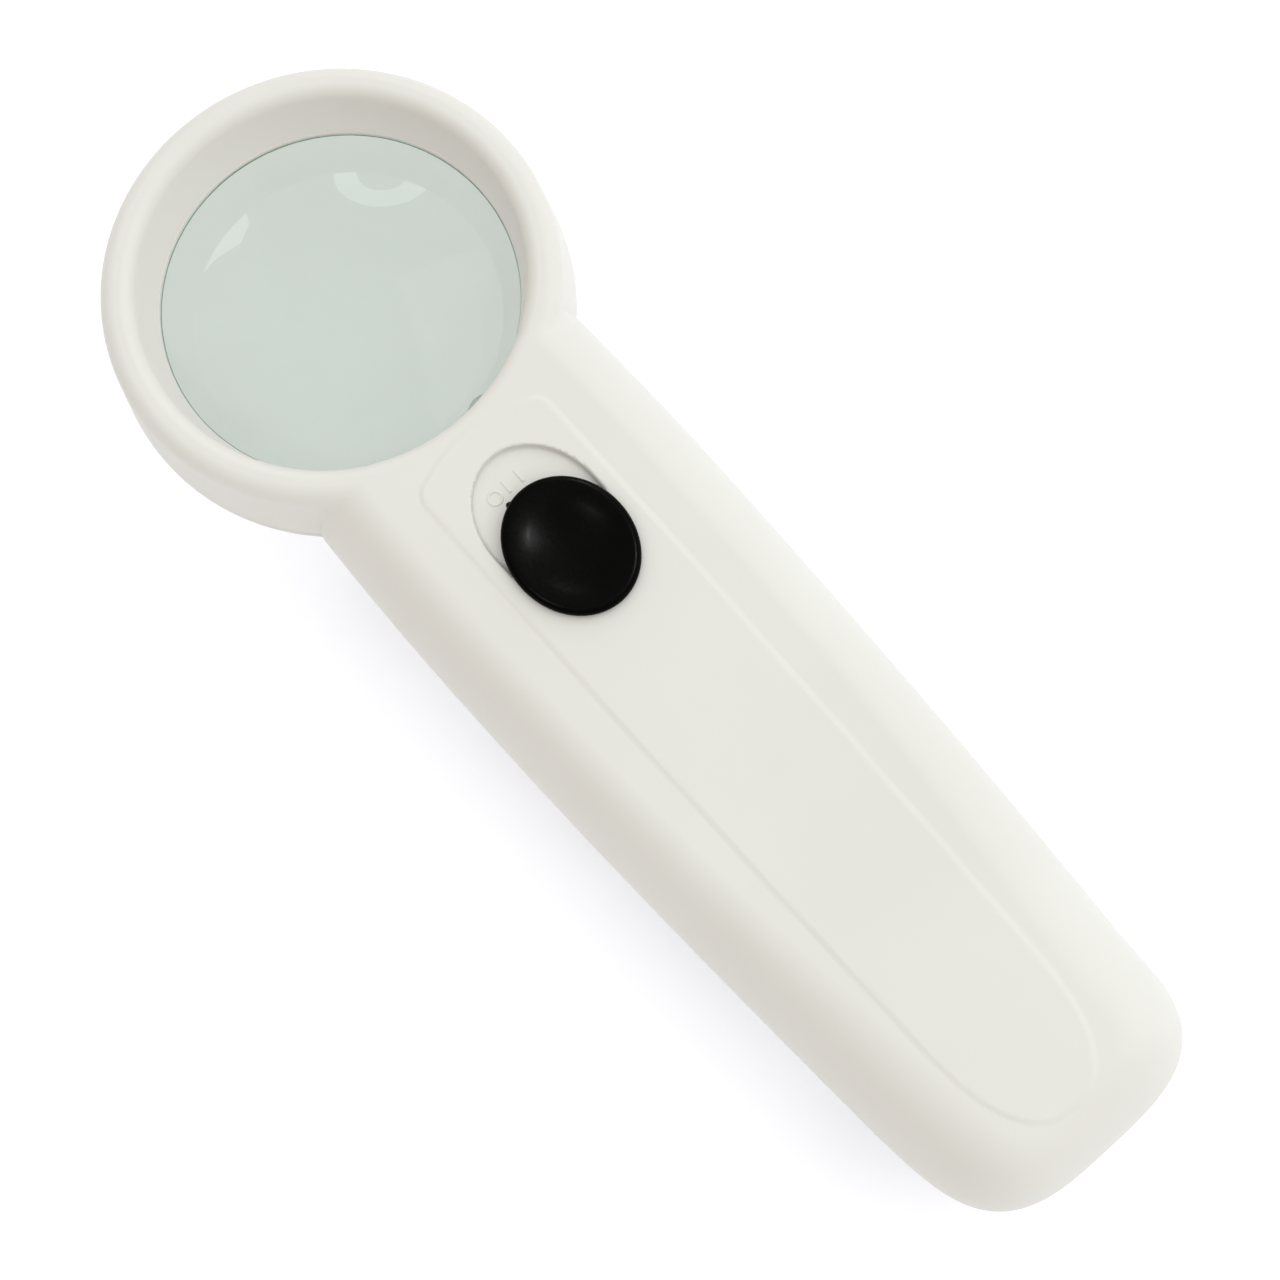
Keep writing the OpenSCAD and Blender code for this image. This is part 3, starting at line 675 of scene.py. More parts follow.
def shell_white():
    """Satin moulded plastic: a spark-eroded grain and the faint waviness of a moulded wall."""
    mat, tree, bsdf = shader("shell_white")
    tone = two_tone(tree, noise(tree, 35, 3), (0.758, 0.748, 0.703), (0.78, 0.773, 0.732))
    put(bsdf, "Base Color", tone)
    put(bsdf, "Roughness", spread(tree, noise(tree, 900, 4), 0.4, 0.52))
    wave = bumps(tree, noise(tree, 45, 2), 0.25, 0.0002)
    grain = bumps(tree, noise(tree, 6500, 3, 0.6), 0.35, 0.000012, wave)
    put(bsdf, "Normal", grain)
    put(bsdf, "Specular IOR Level", 0.42)
    return mat


def lens_acrylic():
    """Clear acrylic with a green cast, its base colour darkened as painted shade of the floor seen through
    it, and the odd hairline of wear.
    """
    mat, tree, bsdf = shader("lens_acrylic")
    # The base colour is the acrylic's green cast and also painted shade: darker than clear acrylic,
    # standing in for the shaded floor under the head.
    put(bsdf, "Base Color", (0.576, 0.63, 0.566, 1))
    put(bsdf, "Transmission Weight", 1)
    put(bsdf, "IOR", 1.49)
    put(bsdf, "Roughness", spread(tree, noise(tree, 240, 5, 0.7), 0.0, 0.02))
    return mat


def led_epoxy():
    """Clear epoxy, a little uneven on its surface."""
    mat, tree, bsdf = shader("led_epoxy")
    put(bsdf, "Base Color", two_tone(tree, noise(tree, 200), (0.93, 0.95, 0.97), (0.97, 0.98, 1)))
    put(bsdf, "Roughness", spread(tree, noise(tree, 500), 0.01, 0.06))
    put(bsdf, "Transmission Weight", 0.96)
    put(bsdf, "IOR", 1.52)
    return mat


def position(tree):
    """The X and Y of a point in the object's own space."""
    where = tree.nodes.new("ShaderNodeTexCoord")
    split = tree.nodes.new("ShaderNodeSeparateXYZ")
    put(split, "Vector", where.outputs["Object"])
    return split.outputs["X"], split.outputs["Y"]


def arithmetic(tree, operation, first, second):
    node = tree.nodes.new("ShaderNodeMath")
    node.operation = operation
    put(node, 0, first)
    put(node, 1, second)
    return node.outputs["Value"]


def resistor_body():
    """Beige lacquer with four colour bands round it."""
    mat, tree, bsdf = shader("resistor_body")
    x, _ = position(tree)
    along = arithmetic(tree, "DIVIDE", arithmetic(tree, "SUBTRACT", x, AXIS_X + RESISTOR_X * MM), 2.6 * MM)
    bands = tree.nodes.new("ShaderNodeValToRGB")
    bands.color_ramp.interpolation = "CONSTANT"
    lacquer = (0.6, 0.45, 0.26)
    stops = [(0.18, (0.12, 0.04, 0.015)), (0.28, lacquer), (0.38, (0.01, 0.01, 0.01)), (0.48, lacquer),
             (0.56, (0.12, 0.04, 0.015)), (0.66, lacquer), (0.76, (0.55, 0.36, 0.08)), (0.88, lacquer)]
    bands.color_ramp.elements[0].color = (*lacquer, 1)
    bands.color_ramp.elements[1].position = stops[0][0]
    bands.color_ramp.elements[1].color = (*stops[0][1], 1)
    for at, tone in stops[1:]:
        stop = bands.color_ramp.elements.new(at)
        stop.color = (*tone, 1)
    put(bands, "Fac", arithmetic(tree, "ADD", along, 0.5))
    put(bsdf, "Base Color", bands.outputs["Color"])
    put(bsdf, "Roughness", spread(tree, noise(tree, 900), 0.25, 0.42))
    put(bsdf, "Normal", bumps(tree, noise(tree, 1800), 0.4, 0.00002))
    return mat


def cell_sleeve():
    """Dark blue shrunk film with a plain copper band at the button end of each cell."""
    mat, tree, bsdf = shader("cell_sleeve")
    x, y = position(tree)
    middle = AXIS_X + (BAY_X0 + BAY_X1) / 2 * MM
    from_middle = arithmetic(tree, "SUBTRACT", x, middle)
    past = arithmetic(tree, "MULTIPLY", from_middle, arithmetic(tree, "SIGN", y, 0.0))
    banded = arithmetic(tree, "GREATER_THAN", past, 12 * MM)
    tone = tree.nodes.new("ShaderNodeMix")
    tone.data_type = "RGBA"
    put(tone, "Factor", banded)
    film = two_tone(tree, noise(tree, 120), (0.016, 0.055, 0.19), (0.022, 0.075, 0.24))
    copper = two_tone(tree, noise(tree, 120), (0.5, 0.25, 0.1), (0.58, 0.3, 0.13))
    put(tone, "A", film)
    put(tone, "B", copper)
    put(bsdf, "Base Color", tone.outputs["Result"])
    put(bsdf, "Roughness", spread(tree, noise(tree, 600), 0.2, 0.34))
    put(bsdf, "Normal", bumps(tree, noise(tree, 500, 2), 0.3, 0.00003))
    return mat


def knob_black():
    mat, tree, bsdf = shader("knob_black")
    tone = two_tone(tree, noise(tree, 300, 3), (0.0010, 0.0012, 0.0008), (0.0018, 0.0018, 0.0014))
    put(bsdf, "Base Color", tone)
    put(bsdf, "Roughness", spread(tree, noise(tree, 2500, 4), 0.22, 0.32))
    put(bsdf, "Normal", bumps(tree, noise(tree, 7000, 3), 0.4, 0.00002))
    put(bsdf, "Specular IOR Level", 0.028)
    return mat


FINISHES = {
    "carriage_nylon": ((0.7, 0.68, 0.58), (0.76, 0.74, 0.65), (0.4, 0.55), 4000, 2e-5),
    "contact_brass": ((0.72, 0.5, 0.2), (0.8, 0.6, 0.28), (0.22, 0.4), 3000, 1e-5, 1.0),
    "board_green": ((0.02, 0.16, 0.06), (0.03, 0.22, 0.08), (0.25, 0.4), 1500, 2e-5),
    "screw_steel": ((0.5, 0.5, 0.5), (0.62, 0.62, 0.63), (0.25, 0.42), 3000, 1e-5, 1.0),
    "tinned_wire": ((0.62, 0.62, 0.6), (0.72, 0.72, 0.7), (0.2, 0.38), 3000, 1e-5, 1.0),
    "cell_can": ((0.6, 0.6, 0.6), (0.7, 0.7, 0.71), (0.22, 0.36), 2500, 1e-5, 1.0),
    "contact_nickel": ((0.6, 0.59, 0.56), (0.7, 0.69, 0.66), (0.2, 0.35), 3000, 1e-5, 1.0),
    "wire_red": ((0.45, 0.02, 0.02), (0.52, 0.03, 0.03), (0.35, 0.45), 1500, 2e-5),
    "wire_black": ((0.012, 0.012, 0.012), (0.02, 0.02, 0.02), (0.35, 0.45), 1500, 2e-5),
}
MATERIALS = {name: finish(name, *row) for name, row in FINISHES.items()}
for make in (shell_white, lens_acrylic, knob_black, resistor_body, led_epoxy, cell_sleeve):
    MATERIALS[make.__name__] = make()


# Dark green for the thin ring at the lens's edge: the edge's own green, and painted shade for the shaded
# gap between lens and wall.
EDGE_AND_GAP_SHADE = finish("lens_edge_and_gap_shade", (0.12, 0.22, 0.16), (0.17, 0.28, 0.21), (0.3, 0.5), 2000, 1e-5)


def dress(obj, slot_name, *nodes, body="housing"):
    """Gives a piece its finish, the body it moves with and the CAD nodes it stands for."""
    obj.data.materials.clear()
    obj.data.materials.append(MATERIALS[slot_name])
    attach(obj, body)
    if nodes:
        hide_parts(*nodes)
    return obj


# ---- Pieces ----


def make_shells():
    step = 0.3
    front = moulded("front_shell_moulding", front_shell_field, front_low, front_high, step, 150000)
    dress(front, "shell_white", "front_shell")
    rear_low, rear_high = part_box("rear_shell")
    rear = moulded("rear_shell_moulding", rear_shell_field, rear_low, rear_high, step * 1.2, 150000)
    dress(rear, "shell_white", "rear_shell")
    door = moulded("battery_door_moulding", door_field, door_low, door_high, step * 1.1, 80000)
    dress(door, "shell_white", "battery_door", body="door")


def make_knob():
    knob = moulded("thumb_knob", knob_field, knob_low, knob_high, 0.14, 40000)
    dress(knob, "knob_black", "switch_knob", body="switch")
    return knob


def make_lens():
    """A biconvex lens with a ground edge."""
    edge_z1, edge_t = SEAT_Z - 0.05, 1.6
    front_curve, back_curve = 58.0, 100.0

    def sag(r, curve):
        return curve - sqrt(curve * curve - r * r)

    front_z = edge_z1 + sag(SIGHT_R, front_curve)
    back_z = edge_z1 - edge_t - sag(lens_r, back_curve)
    steps = 40
    bevel = 0.15
    radii = [lens_r * i / steps for i in range(steps)]
    back = [(r, back_z + sag(r, back_curve)) for r in radii]
    front = [(r, front_z - sag(r, front_curve)) for r in reversed(radii)]
    edge = [(lens_r - bevel, edge_z1 - edge_t), (lens_r, edge_z1 - edge_t + bevel),
            (lens_r, front_z - sag(lens_r, front_curve) - bevel),
            (lens_r - bevel, front_z - sag(lens_r - bevel, front_curve))]
    lens = lathe("magnifier_lens", back + edge + front, 192, closed=False, sharp=radians(30))
    dress(lens, "lens_acrylic", "lens")
    lens.visible_shadow = False
    lens.visible_diffuse = False


def rounded_section(corners, r, steps=4):
    """A closed section with each of its corners cut back to a small round."""
    points = []
    count = len(corners)
    for i in range(count):
        here = Vector(corners[i])
        before = (Vector(corners[i - 1]) - here).normalized()
        after = (Vector(corners[(i + 1) % count]) - here).normalized()
        for k in range(steps + 1):
            t = k / steps
            points.append(tuple(here + before * r * (1 - t) ** 2 + after * r * t * t))
    return points


def make_retaining_ring():
    z0, z1 = ring_low[2], ring_high[2]
    outer = POCKET_R - 0.1
    inner = SIGHT_R + 0.45
    corners = [(outer, z0), (outer, z1), (inner + 0.2, z1), (inner, z1 - 0.4), (inner, z0 + 0.4),
               (inner + 0.3, z0)]
    ring = lathe("lens_ring", rounded_section(corners, 0.2), 160)
    dress(ring, "shell_white", "lens_retaining_ring")


def make_seat_bead():
    """The fine bead round the lens, and inside it a thin dark green ring for the lens's edge, partly
    painted shade of the gap between lens and wall.
    """
    slope = (RIM_R - SIGHT_R) / (FACE_Z - RIM_EDGE - SEAT_Z)
    low, high = SEAT_Z, SEAT_Z + 0.45
    inner = SIGHT_R - 0.04
    corners = [(inner, low), (inner + 0.4, low), (inner + 0.4, high), (inner + slope * 0.45, high)]
    line_r = inner - 0.02
    section = [(line_r - 0.07, low), (line_r, low), (line_r, low + 0.1), (line_r - 0.03, low + 0.1)]
    # The ring is set off centre so that it shows at the far side only: painted shade for the gap between
    # lens and wall, over the lens's own green edge.
    line_shift = 0.07
    line = lathe("lens_edge_and_gap_shade_line", section, 256, (line_shift, 0, 0))
    dress(line, "lens_acrylic")
    line.data.materials[0] = EDGE_AND_GAP_SHADE
    bead = lathe("lens_seat_bead", rounded_section(corners, 0.05), 256)
    dress(bead, "shell_white")


def make_marks():
    """A plain ring and two bars in low relief on the well's floor."""
    tube = [(0.72 + 0.16 * cos(a), WELL_Z + 0.1 * sin(a)) for a in (2 * pi * i / 10 for i in range(10))]
    ring = lathe("off_mark", tube, 48, centre=(29.3, -2.35, 0))
    dress(ring, "shell_white")
    for i, at_y in enumerate((-0.75, 0.95)):
        low, high = (28.3, at_y - 0.17, WELL_Z - 0.2), (29.9, at_y + 0.17, WELL_Z + 0.1)
        mark = moulded(f"off_bar_{i + 1}", lambda p: block(p, low, high, 0.12), low, high, 0.08, 1500)
        dress(mark, "shell_white")


# ---- Inner parts ----


def eased(points, rounds=3):
    """A path with its corners cut back to soft bends."""
    points = [Vector(p) for p in points]
    for _ in range(rounds):
        cut = [points[0]]
        for a, b in zip(points, points[1:]):
            cut += [a.lerp(b, 0.25), a.lerp(b, 0.75)]
        points = cut + [points[-1]]
    return points


def heading(path, i):
    """The way a path runs at its point i."""
    return (path[min(i + 1, len(path) - 1)] - path[max(i - 1, 0)]).normalized()


def add_skin(bm, rings):
    """Joins rings of corners into a skin with closed ends."""
    for low, high in zip(rings, rings[1:]):
        for k in range(len(low)):
            n = (k + 1) % len(low)
            bm.faces.new((low[k], low[n], high[n], high[k]))
    bm.faces.new(rings[0])
    bm.faces.new(rings[-1])


def add_tube(bm, path, d, sides=14):
    """Adds a round wire along a path, with its ends rounded off."""
    first = (path[1] - path[0]).normalized() * d * 0.15
    last = (path[-1] - path[-2]).normalized() * d * 0.15
    path = [path[0], path[0] + first, *path[1:-1], path[-1] - last, path[-1]]
    across = (path[1] - path[0]).orthogonal().normalized()
    rings = []
    for i, at in enumerate(path):
        ahead = heading(path, i)
        across = (across - ahead * across.dot(ahead)).normalized()
        other = ahead.cross(across)
        radius = d / 2 * (0.7 if i in (0, len(path) - 1) else 1)
        angles = [2 * pi * k / sides for k in range(sides)]
        rings.append([bm.verts.new(at + (across * cos(a) + other * sin(a)) * radius) for a in angles])
    add_skin(bm, rings)


def add_block(bm, low, high, bevel):
    """Adds a box with its edges rounded over."""
    size = Vector(high) - Vector(low)
    middle = (Vector(high) + Vector(low)) / 2
    matrix = Matrix.Translation(middle) @ Matrix.Diagonal((*size, 1))
    made = bmesh.ops.create_cube(bm, size=1, matrix=matrix)
    edges = list({edge for vert in made["verts"] for edge in vert.link_edges})
    bmesh.ops.bevel(bm, geom=edges, offset=bevel, segments=3, profile=0.5, affect="EDGES")


def tubes(name, paths, d, sides=14):
    bm = bmesh.new()
    for path in paths:
        add_tube(bm, path, d, sides)
    return finish_mesh(name, bm)


def blocks(name, boxes, bevel):
    bm = bmesh.new()
    for low, high in boxes:
        add_block(bm, low, high, bevel)
    return finish_mesh(name, bm)


def make_lamps():
    """Clear 5 mm lamps with a flange, and the frame and leads that hold the die inside."""
    base_r, tip_l, flange_r = 2.5, 8.6, 2.9
    turns = [pi / 2 * i / 12 for i in range(12)]
    dome = [(base_r * cos(a), tip_l - base_r + base_r * sin(a)) for a in turns]
    section = [(0, 0), (flange_r - 0.1, 0), (flange_r, 0.1), (flange_r, 0.9), (flange_r - 0.1, 1),
               (base_r + 0.05, 1), (base_r, 1.05), *dome, (0, tip_l)]
    ahead = Vector((-cos(LAMP_TILT), 0, -sin(LAMP_TILT)))
    cup = [(0, 3.0), (0.55, 3.0), (0.6, 3.1), (0.95, 4.1), (0.8, 4.1), (0.35, 3.5), (0, 3.45)]
    for name, side_y in (("led_left", -1), ("led_right", 1)):
        at = Vector((LAMP_X, side_y * LAMP_Y, LAMP_Z))
        bulb = lathe(name + "_bulb", section, 64, at, ahead, closed=False)
        dress(bulb, "led_epoxy", name)
        bm = bmesh.new()
        for lead, inside_l in ((-1, 3.1), (1, 4.3)):
            y = at.y + lead * LEAD_Y
            inside = Vector((at.x, at.y + lead * 0.75, at.z)) + ahead * inside_l
            path = [inside, Vector((at.x, y, at.z)) + ahead * 1.6, (24.1, y, 9.65), (25.8, y, 10.4),
                    (26.6, y, 11.3), (LEAD_X, y, 12.2), (LEAD_X, y, BOARD_TOP + 0.6)]
            add_tube(bm, eased(path), LEAD_D)
        frame_piece = finish_mesh(name + "_frame", bm)
        dress(frame_piece, "tinned_wire", name + "_leads")
        reflector = lathe(name + "_cup", cup, 32, at + Vector((0, -0.5, 0)), ahead, closed=False)
        dress(reflector, "tinned_wire")


def make_board():
    """The circuit board with its holes, the solder on them and the contact strips."""
    low, high = part_box("circuit_board")
    holes = [(POST_XS[0], POST_Y, 1.8), (POST_XS[1], -POST_Y, 1.8)]
    holes += [(LEAD_X, side * LAMP_Y + lead * LEAD_Y, 0.8) for side in (-1, 1) for lead in (-1, 1)]
    holes += [(RESISTOR_X + way * RESISTOR_HOLE, 0, 0.8) for way in (-1, 1)]
    holes += [(WIRE_X, way * WIRE_Y, 1.3) for way in (-1, 1)]

    def field(p):
        solid = block(p, (low[0], low[1], low[2] - 2), (high[0], high[1], high[2] + 2), 0.8)
        solid = meet(solid, maximum(low[2] - p[2], p[2] - high[2]), 0.06)
        for x, y, d in holes:
            solid = meet(solid, d / 2 - hypot(p[0] - x, p[1] - y), 0.06)
        return solid

    board = moulded("board_panel", field, low, high, 0.16, 40000)
    dress(board, "board_green", "circuit_board")
    bm = bmesh.new()
    joint = [(0, 0.02), (0.85, 0.02), (0.7, 0.09), (0.5, 0.22), (0.36, 0.42), (0.3, 0.6), (0, 0.64)]
    for x, y, d in holes[2:]:
        grow = 1 + (d - 0.8) * 0.6
        add_turned(bm, [(r * grow, h) for r, h in joint], 24, (x, y, high[2]), (0, 0, 1), False)
    dress(finish_mesh("solder_joints", bm), "tinned_wire")
    strips = part_box("switch_contacts")
    long_x0, short_x1 = strips[0][0], strips[0][0] + 6.5
    z0, z1 = strips[0][2], strips[1][2]
    pads = blocks("contact_strips", [
        ((long_x0, -3.7, z0), (strips[1][0], -2.1, z1)),
        ((long_x0, 2.1, z0), (short_x1, 3.7, z1)),
    ], 0.06)
    dress(pads, "contact_brass", "switch_contacts")


def make_resistor():
    low, high = part_box("resistor")
    half = (high[0] - low[0]) / 2
    at = ((low[0] + high[0]) / 2, 0, (low[2] + high[2]) / 2)
    bulge = [(0, -half), (0.5, -half), (0.85, -half + 0.12), (1.0, -half + 0.5), (1.0, -half + 1.1),
             (0.86, -half + 1.5)]
    section = bulge + [(r, -h) for r, h in reversed(bulge)]
    dress(lathe("resistor_barrel", section, 48, at, (1, 0, 0), False), "resistor_body", "resistor")
    paths = []
    for way in (-1, 1):
        x = at[0] + way * RESISTOR_HOLE
        paths.append(eased([(at[0] + way * half * 0.9, 0, at[2]), (x, 0, at[2]), (x, 0, BOARD_TOP + 0.5)]))
    dress(tubes("resistor_legs", paths, LEAD_D), "tinned_wire", "resistor_leads")


def make_switch_parts():
    low, high = part_box("switch_carriage")
    top_z0 = low[2] + 1.2

    def body(p):
        solid = block(p, (low[0], low[1], top_z0), (high[0], high[1], high[2]), 0.3)
        rib = block(p, (low[0] + 0.05, -1.4, low[2]), (KNOB_X + 2.8, 1.4, top_z0 + 0.5), 0.25)
        solid = join(solid, rib, 0.2)
        socket_low = (KNOB_X - 1.55, -1.25, knob_low[2] - 0.05)
        solid = carve(solid, block(p, socket_low, (KNOB_X + 1.55, 1.25, high[2] + 2), 0.1), 0.12)
        for groove_x in (KNOB_X - 2.9, KNOB_X + 2.9):
            solid = meet(solid, 0.35 - hypot(p[0] - groove_x, p[2] - high[2] - 0.1), 0.1)
        return solid

    slider = moulded("slider", body, low, high, 0.14, 30000)
    dress(slider, "carriage_nylon", "switch_carriage", body="switch")
    (x0, y0, z0), (x1, y1, z1) = part_box("switch_wiper")
    thick = 0.25
    run = [(x1, z1), (x0 + 0.3, z1), (x0, z1 - 0.3), (x0, z0 + 0.3), (x0 + 0.3, z0), (x0 + 1.8, z0)]
    bm = bmesh.new()
    for finger_y in (-3.9, 1.9):
        add_strip(bm, run, finger_y, finger_y + 2, thick)
    add_block(bm, (x1 - 0.8, y0, z1 - thick), (x1, y1, z1), 0.05)
    leaf = finish_mesh("wiper_leaf", bm, radians(35))
    dress(leaf, "contact_brass", "switch_wiper", body="switch")


def add_strip(bm, run, y0, y1, thick):
    """Adds a bent strip whose outer face follows a run of (x, z) points."""
    path = eased([(x, 0, z) for x, z in run], 2)
    rings = []
    for i, at in enumerate(path):
        ahead = heading(path, i)
        inward = Vector((-ahead.z, 0, ahead.x)) * thick
        edge = 0.05
        near, far, inside = at + inward * 0.2, at + inward * 0.8, at + inward
        corners = [(at, y0 + edge), (near, y0), (far, y0), (inside, y0 + edge),
                   (inside, y1 - edge), (far, y1), (near, y1), (at, y1 - edge)]
        rings.append([bm.verts.new((v.x, y, v.z)) for v, y in corners])
    add_skin(bm, rings)


def make_cells():
    """Round cells: a crimped can with a raised button, in a shrunk sleeve."""
    can_r, can_l, button_r, cell_l = 7.1, 49.5, 2.7, 50.5
    can = [(0, 0.12), (4.6, 0.12), (4.75, 0), (5.5, 0), (5.65, 0.12), (5.8, 0.3), (6.5, 0.3),
           (can_r - 0.15, 0.42), (can_r, 0.7), (can_r, 46.6), (can_r - 0.35, 47.0), (can_r - 0.35, 47.5),
           (can_r, 47.9), (can_r, can_l - 0.5), (can_r - 0.2, can_l - 0.1), (can_r - 0.6, can_l),
           (5.9, can_l), (5.7, can_l - 0.5), (4.1, can_l - 0.5), (3.6, can_l - 0.1),
           (button_r + 0.1, can_l), (button_r, can_l + 0.1),
           (button_r, cell_l - 0.3), (button_r - 0.3, cell_l), (0, cell_l)]
    sleeve = [(6.55, 0.22), (7.0, 0.26), (7.2, 0.5), (7.25, 0.9), (7.25, 46.5), (7.0, 47.0), (7.0, 47.5),
              (7.25, 48.0), (7.25, 48.7), (7.2, 49.1), (7.05, 49.3), (6.8, 49.3), (7.0, 49.0),
              (7.11, 48.6), (7.11, 47.9), (6.87, 47.5), (6.87, 47.0), (7.11, 46.5), (7.11, 0.9),
              (7.05, 0.6), (6.55, 0.35)]
    for name, side_y, flat_end in (("battery_left", -1, "max"), ("battery_right", 1, "min")):
        low, high = part_box(name)
        flat_x = high[0] if flat_end == "max" else low[0]
        at = (flat_x, side_y * CELL_Y, CELL_Z)
        ahead = (1 if flat_end == "min" else -1, 0, 0)
        dress(lathe(name + "_can", can, 96, at, ahead, False, radians(30)), "cell_can", name)
        wrap = lathe(name + "_sleeve", sleeve, 96, at, ahead)
        dress(wrap, "cell_sleeve", name + "_jacket")


def make_contacts():
    """The bay's contact plates with their tabs, and the two cone springs."""
    for name, side_y in (("terminal_positive", -1), ("terminal_negative", 1)):
        low, high = part_box(name)
        plate_x0 = high[0] - PLATE_T
        tab_y = side_y * WIRE_Y
        piece = blocks(name + "_plate", [
            ((plate_x0, low[1], low[2]), (high[0], high[1], high[2] - 0.8)),
            ((plate_x0, tab_y - 0.6, high[2] - 1.2), (high[0], tab_y + 0.6, high[2])),
            ((low[0], tab_y - 0.6, high[2] - PLATE_T), (high[0], tab_y + 0.6, high[2])),
        ], 0.08)
        dress(piece, "contact_nickel", name)
    low, high = part_box("bridge_plate")
    bridge = blocks("bridge_contact", [(low, high)], 0.12)
    dress(bridge, "contact_nickel", "bridge_plate")
    for name, side_y, wide_end in (("terminal_spring", 1, "min"), ("bridge_spring", -1, "max")):
        low, high = part_box(name)
        x0, x1 = (low[0], high[0]) if wide_end == "min" else (high[0], low[0])
        dress(cone_spring(name + "_coil", x0, x1, side_y * CELL_Y), "contact_nickel", name)


def cone_spring(name, x0, x1, y):
    """A cone of round wire, wide at x0, with a closed turn at each end."""
    turns, flat_turns, wide_r, narrow_r = 3.0, 0.8, 3.9, 2.5
    inset = SPRING_D / 2 if x1 > x0 else -SPRING_D / 2
    steps = 180
    path = []
    for i in range(steps + 1):
        t = i / steps
        turn = -flat_turns + (turns + 2 * flat_turns) * t
        wound = min(max(turn / turns, 0), 1)
        along = float(soft_step(wound)) * 0.5 + wound * 0.5
        r = wide_r + (narrow_r - wide_r) * wound
        x = x0 + inset + (x1 - x0 - 2 * inset) * along
        path.append(Vector((x, y + r * cos(2 * pi * turn), CELL_Z + r * sin(2 * pi * turn))))
    return tubes(name, [path], SPRING_D, 10)


def make_wires():
    """The insulated wires from the board to the tabs of the plates."""
    for name, side_y, slot_name in (("wire_positive", -1, "wire_red"), ("wire_negative", 1, "wire_black")):
        low, high = part_box(name)
        y = side_y * WIRE_Y
        top = high[2] - 0.5
        path = eased([(WIRE_X, y, low[2]), (WIRE_X, y, BOARD_TOP + 0.3), (WIRE_X + 0.2, y, top),
                      (WIRE_X + 0.8, y, top), (high[0], y, top)])
        dress(tubes(name + "_lead", [path], 1.0), slot_name, name)


def screw(name, at, shank_d, head_d, z_head, z_seat, z_tip, step):
    """A pan head screw, head down, with a rolled thread and a cross recess."""
    pitch, depth = 0.9 * shank_d**0.5 * 0.6, 0.12 * shank_d**0.5

    def field(p):
        x, y, z = p[0] - at[0], p[1] - at[1], p[2]
        r = hypot(x, y)
        wave = 0.5 + 0.5 * np.cos(2 * pi * z / pitch - np.arctan2(y, x))
        point = 0.5 * maximum(z - z_tip + 1.2, 0)
        shank = r - shank_d / 2 + depth * wave + point
        shank = meet(shank * 0.8, maximum(z_seat - 0.3 - z, z - z_tip), 0.1)
        head = meet(r - head_d / 2, maximum(z_head - z, z - z_seat + 0.05), 0.25)
        reach, half_w, deep = head_d / 3, head_d * 0.06, head_d * 0.15
        taper = 0.35 * (z - z_head)
        cross = minimum(
            maximum(np.abs(x) - reach + taper, np.abs(y) - half_w),
            maximum(np.abs(y) - reach + taper, np.abs(x) - half_w),
        )
        head = meet(head, -maximum(cross, z - z_head - deep), 0.06)
        return join(head, shank, 0.1)

    low = (at[0] - head_d / 2, at[1] - head_d / 2, z_head)
    high = (at[0] + head_d / 2, at[1] + head_d / 2, z_tip)
    return moulded(name, field, low, high, step, 26000)


def make_screws():
    reach = 10.0
    places = [(SCREW_X, -SCREW_Y, 4), (SCREW_X, SCREW_Y, 4), (BUTT_SCREW_X, 0, 8)]
    for i, (x, y, seat_z) in enumerate(places):
        piece = screw(f"shell_screw_{i + 1}", (x, y), 2.3, 4.2, seat_z - 1.7, seat_z, seat_z + reach, 0.11)
        dress(piece, "screw_steel", "shell_screws")
    low, high = part_box("board_screws")
    for i, at in enumerate(((POST_XS[0], POST_Y), (POST_XS[1], -POST_Y))):
        piece = screw(f"board_screw_{i + 1}", at, 1.4, 2.4, low[2], low[2] + 1, high[2], 0.08)
        dress(piece, "screw_steel", "board_screws")


# ---- Stage ----


def make_stage():
    mat, tree, bsdf = shader("floor_paper")
    tone = two_tone(tree, noise(tree, 8, 2), (0.925, 0.93, 0.97), (0.94, 0.945, 0.985))
    put(bsdf, "Base Color", tone)
    put(bsdf, "Roughness", spread(tree, noise(tree, 300), 0.8, 0.9))
    put(bsdf, "Specular IOR Level", 0.1)
    put(bsdf, "Emission Color", (0.91, 0.93, 1, 1))
    put(bsdf, "Emission Strength", 0.22)
    bm = bmesh.new()
    bmesh.ops.create_grid(bm, x_segments=8, y_segments=8, size=3)
    mesh = bpy.data.meshes.new("floor")
    bm.to_mesh(mesh)
    bm.free()
    mesh.materials.append(mat)
    floor = new_object("floor", mesh)
    floor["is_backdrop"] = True


def area_light(name, at, size, power):
    """A rectangular light aimed at the middle of the object."""
    light = bpy.data.lights.new(name, "AREA")
    light.shape = "RECTANGLE"
    light.size, light.size_y = size
    light.energy = power
    obj = new_object(name, light)
    obj.location = at
    obj.rotation_euler = (-Vector(at)).to_track_quat("-Z", "Y").to_euler()
    return obj


